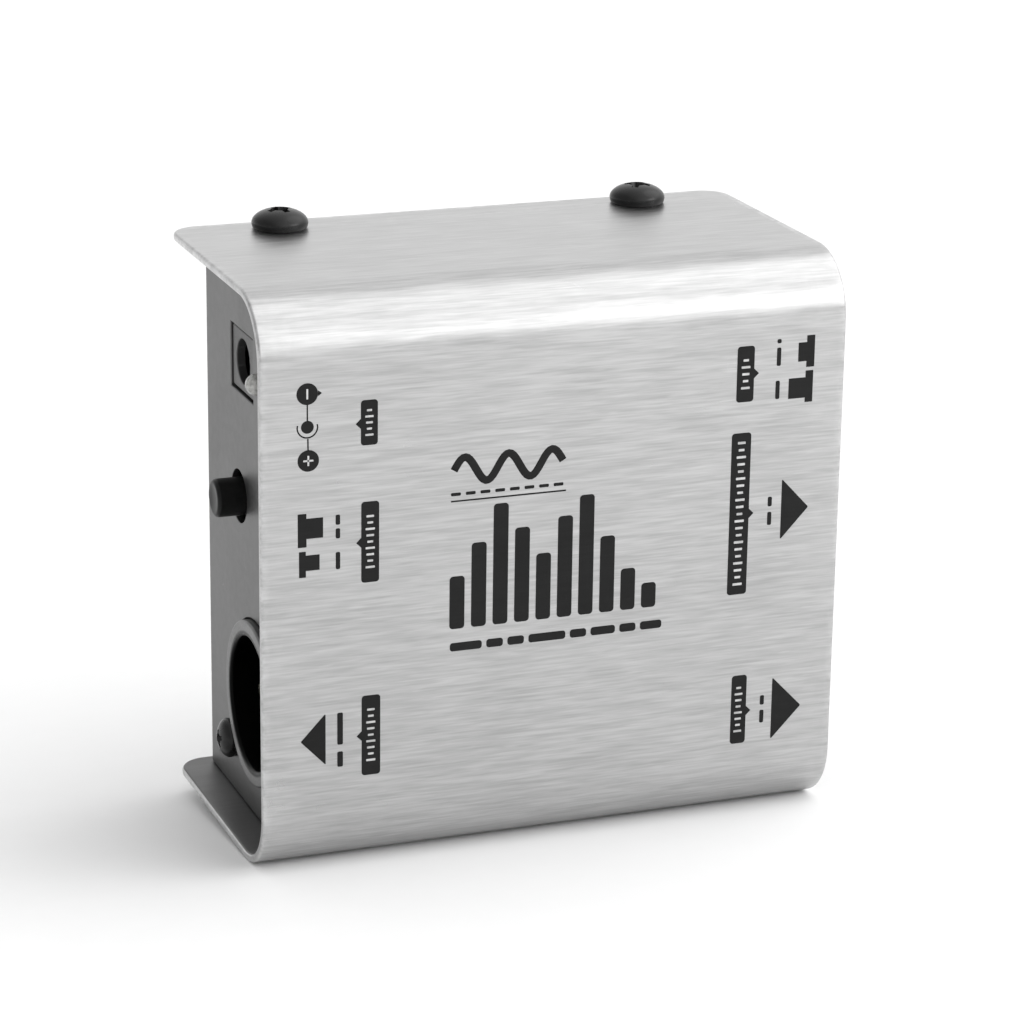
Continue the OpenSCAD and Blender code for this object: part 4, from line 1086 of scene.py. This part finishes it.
foot_r = 5.0
foot_low, foot_high = [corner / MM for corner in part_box("rubber_feet")]
foot_outline = [(0, 0), (4.86, 0), (foot_r, 0.12), (4.96, 1.6)] + arc(4.0, 2.0, 0.94, 0, 90, 6)[1:]
foot_outline += [(3.6, 3.0), (2.6, 2.95), (1.4, 2.9), (0, 2.88)]
foot = turned("rubber_foot_1", foot_outline, 64)
smooth(foot, 40)
feet = [foot] + [copied(foot, f"rubber_foot_{i}") for i in (2, 3, 4)]
foot_spots = [(x, z) for x in (foot_low.x + foot_r, foot_high.x - foot_r)
              for z in (foot_low.z + foot_r, foot_high.z - foot_r)]
for piece, (x, z) in zip(feet, foot_spots):
    place(piece, on_back(x, z))
    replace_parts(finish(piece, "foot_rubber"), "rubber_feet")

# ---- output connector

in_socket = on_left(output_at.y, output_at.z)
barrel_outline = ([(9.5, -20.0), (11.8, -20.0)] + arc(11.45, 0.65, 0.35, 0, 90, 4)
                  + arc(10.0, 0.5, 0.5, 90, 180, 4) + [(9.5, -20.0)])
barrel = turned("output_shell_barrel", barrel_outline, 96)
flange = block("flange", (-13, -15.5, -2.8), (13, 15.5, -1.2))
open_up(flange)
round_edges(3.0, 8, lambda at, way: abs(way.z) > 0.9)
close_up()
soften(flange, 0.15, 2)
cut(flange, rod("bore", 22.6, -4, 0, 64))
for side in (-1, 1):
    cut(flange, place(rod("hole", 3.4, -4, 0, 32), shift(-flange_dz * side, flange_dy * side)))
fuse(barrel, flange)
cut(barrel, block("latch_notch", (-1.2, -10.5, -8.0), (1.2, -8.5, -2.0)))
smooth(barrel, 34)
place(barrel, in_socket)
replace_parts(finish(barrel, "satin_nickel", look="socket_shell"), "output_shell")

pin_spots = [(4.95, 0), (0, 4.95), (-4.95, 0)]
insert_outline = [(0, -20), (9.38, -20), (9.48, -19.9), (9.48, -15.3), (9.28, -15), (8.0, -15),
                  (7.8, -15.25), (7.2, -15.25), (7.0, -15), (0, -15)]
insert = turned("output_insert_disc", insert_outline, 72)
for x, y in pin_spots:
    cut(insert, place(rod("pin_hole", 2.44, -21, -14, 32), shift(x, y)))
smooth(insert, 30)
place(insert, in_socket)
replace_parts(finish(insert, "black_insulator"), "output_insert")

pin_outline = [(0, -24.0), (0.67, -24.0), (0.67, -25.0), (1.1, -25.0), (1.2, -24.9), (1.2, -15.0),
               (1.2, -2.75)] + arc(0.6, -2.6, 0.6, 0, 90, 6) + [(0, -2.0)]
pin = turned("output_pin_1", pin_outline, 40)
smooth(pin, 36)
pins = [pin, copied(pin, "output_pin_2"), copied(pin, "output_pin_3")]
for piece, (x, y) in zip(pins, pin_spots):
    place(piece, in_socket @ shift(x, y))
    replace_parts(finish(piece, "contact_metal"), "output_pins")

# ---- inlet, lamp and buttons

housing = softened_twin("inlet_housing", "inlet_housing_body", 0.22)
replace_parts(finish(housing, "grey_housing"), "inlet_housing")

lamp_at = middle("power_lamp")
lens_outline = ([(0, -3.6), (1.42, -3.6), (1.5, -3.5), (1.5, -2.2), (1.9, -2.15), (1.9, -1.3),
                 (1.82, -1.2), (1.5, -1.2)] + arc(0, 0.3, 1.5, 0, 90, 12))
lens_cap = turned("power_lamp_lens", lens_outline, 48)
smooth(lens_cap, 34)
place(lens_cap, on_left(lamp_at.y, lamp_at.z))
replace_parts(finish(lens_cap, "lamp_lens"), "power_lamp")

cap_outline = ([(0, 1.4), (1.72, 1.4), (1.72, -1.5), (1.82, -1.6), (2.6, -1.6), (2.7, -1.5),
                (2.7, 0.9)] + arc(2.15, 3.15, 0.55, 0, 90, 6)
               + [(1.9, 3.68), (1.4, 3.6), (0.7, 3.54), (0, 3.52)])
cap = turned("ground_button_cap", cap_outline, 64)
smooth(cap, 34)
pad_cap = copied(cap, "pad_button_cap")
ground_at, pad_at = middle("ground_button"), middle("pad_button")
place(cap, on_left(ground_at.y, ground_at.z))
place(pad_cap, on_right(pad_at.y, pad_at.z))
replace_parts(finish(cap, "black_button", "ground_button"), "ground_button")
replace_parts(finish(pad_cap, "black_button", "pad_button"), "pad_button")

# ---- return springs

spring_wire, spring_turns, points_per_turn = 0.4, 5, 28


def return_spring(name, node):
    """A round-wire coil along X through its CAD node's box."""
    low, high = [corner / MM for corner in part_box(node)]
    axis_at, coil_r = (low + high) / 2, (high.z - low.z - spring_wire) / 2
    start, run = low.x + spring_wire / 2, high.x - low.x - spring_wire
    steps = spring_turns * points_per_turn
    coil = []
    for i in range(steps + 1):
        turn = math.tau * i / points_per_turn
        coil.append(Vector((start + run * i / steps, axis_at.y + coil_r * math.cos(turn),
                            axis_at.z + coil_r * math.sin(turn))))
    spring = smooth(strand(name, coil, spring_wire, 2), 60)
    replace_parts(finish(spring, "spring_steel"), node)
    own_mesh(spring)


return_spring("ground_return_spring", "ground_spring")
return_spring("pad_return_spring", "pad_spring")

# ---- jack sockets


def bushing_outline():
    """A threaded sleeve with a seat behind it and a lead-in for the plug."""
    thread_r, root_r, bore_r, pitch = 5.9, 5.62, 3.25, 0.75
    outline = [(bore_r, -8.2), (4.9, -8.2), (5.0, -8.1), (5.0, -1.2), (thread_r, -1.2)]
    z = -0.6
    while z < 3.2:
        outline += [(thread_r, z - 0.16), (root_r, z + 0.02), (root_r, z + 0.14),
                    (thread_r, z + 0.32)]
        z += pitch
    return outline + [(thread_r, 3.4), (5.5, 3.8), (3.85, 3.8), (3.55, 3.62), (3.3, 3.3),
                      (bore_r, 3.1), (bore_r, -8.2)]


bushing = turned("bushing", bushing_outline(), 72)
smooth(bushing, 32)
nut_across_flats, nut_turn = 14.0, math.pi / 6
nut = rod("nut", nut_across_flats / math.cos(math.pi / 6), 0.6, 2.8, 6)
crown = turned("crown", [(0, 0.5), (8.6, 0.5), (8.6, 1.9), (7.2, 2.8), (7.0, 2.9), (0, 2.9)], 72)
apply(nut, "BOOLEAN", operation="INTERSECT", solver="EXACT", object=crown)
bpy.data.objects.remove(crown)
cut(nut, turned("thread_bore", [(0, 0), (6.25, 0), (6.25, 0.6), (5.92, 0.95), (5.92, 2.5),
                                (6.25, 2.85), (6.25, 3.2), (0, 3.2)], 64))
soften(nut, 0.05, 2, 50)
smooth(nut, 30)
washer = turned("washer", [(6.1, 0.06), (6.16, 0), (7.42, 0), (7.5, 0.08), (7.5, 0.52),
                           (7.42, 0.6), (6.16, 0.6), (6.1, 0.54), (6.1, 0.06)], 72)
smooth(washer, 34)
for socket in ("input", "link"):
    at = middle(socket + "_jack_bushing")
    for shape, part, node in ((bushing, "sleeve", socket + "_jack_bushing"),
                              (nut, "nut", "jack_nuts"), (washer, "washer", "jack_washers")):
        piece = copied(shape, f"{socket}_jack_{part}")
        place(piece, on_right(at.y, at.z) @ spin(nut_turn if part == "nut" else 0))
        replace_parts(finish(piece, "satin_nickel"), node)
for shape in (bushing, nut, washer):
    bpy.data.objects.remove(shape)

# ---- end

bpy.context.view_layer.update()
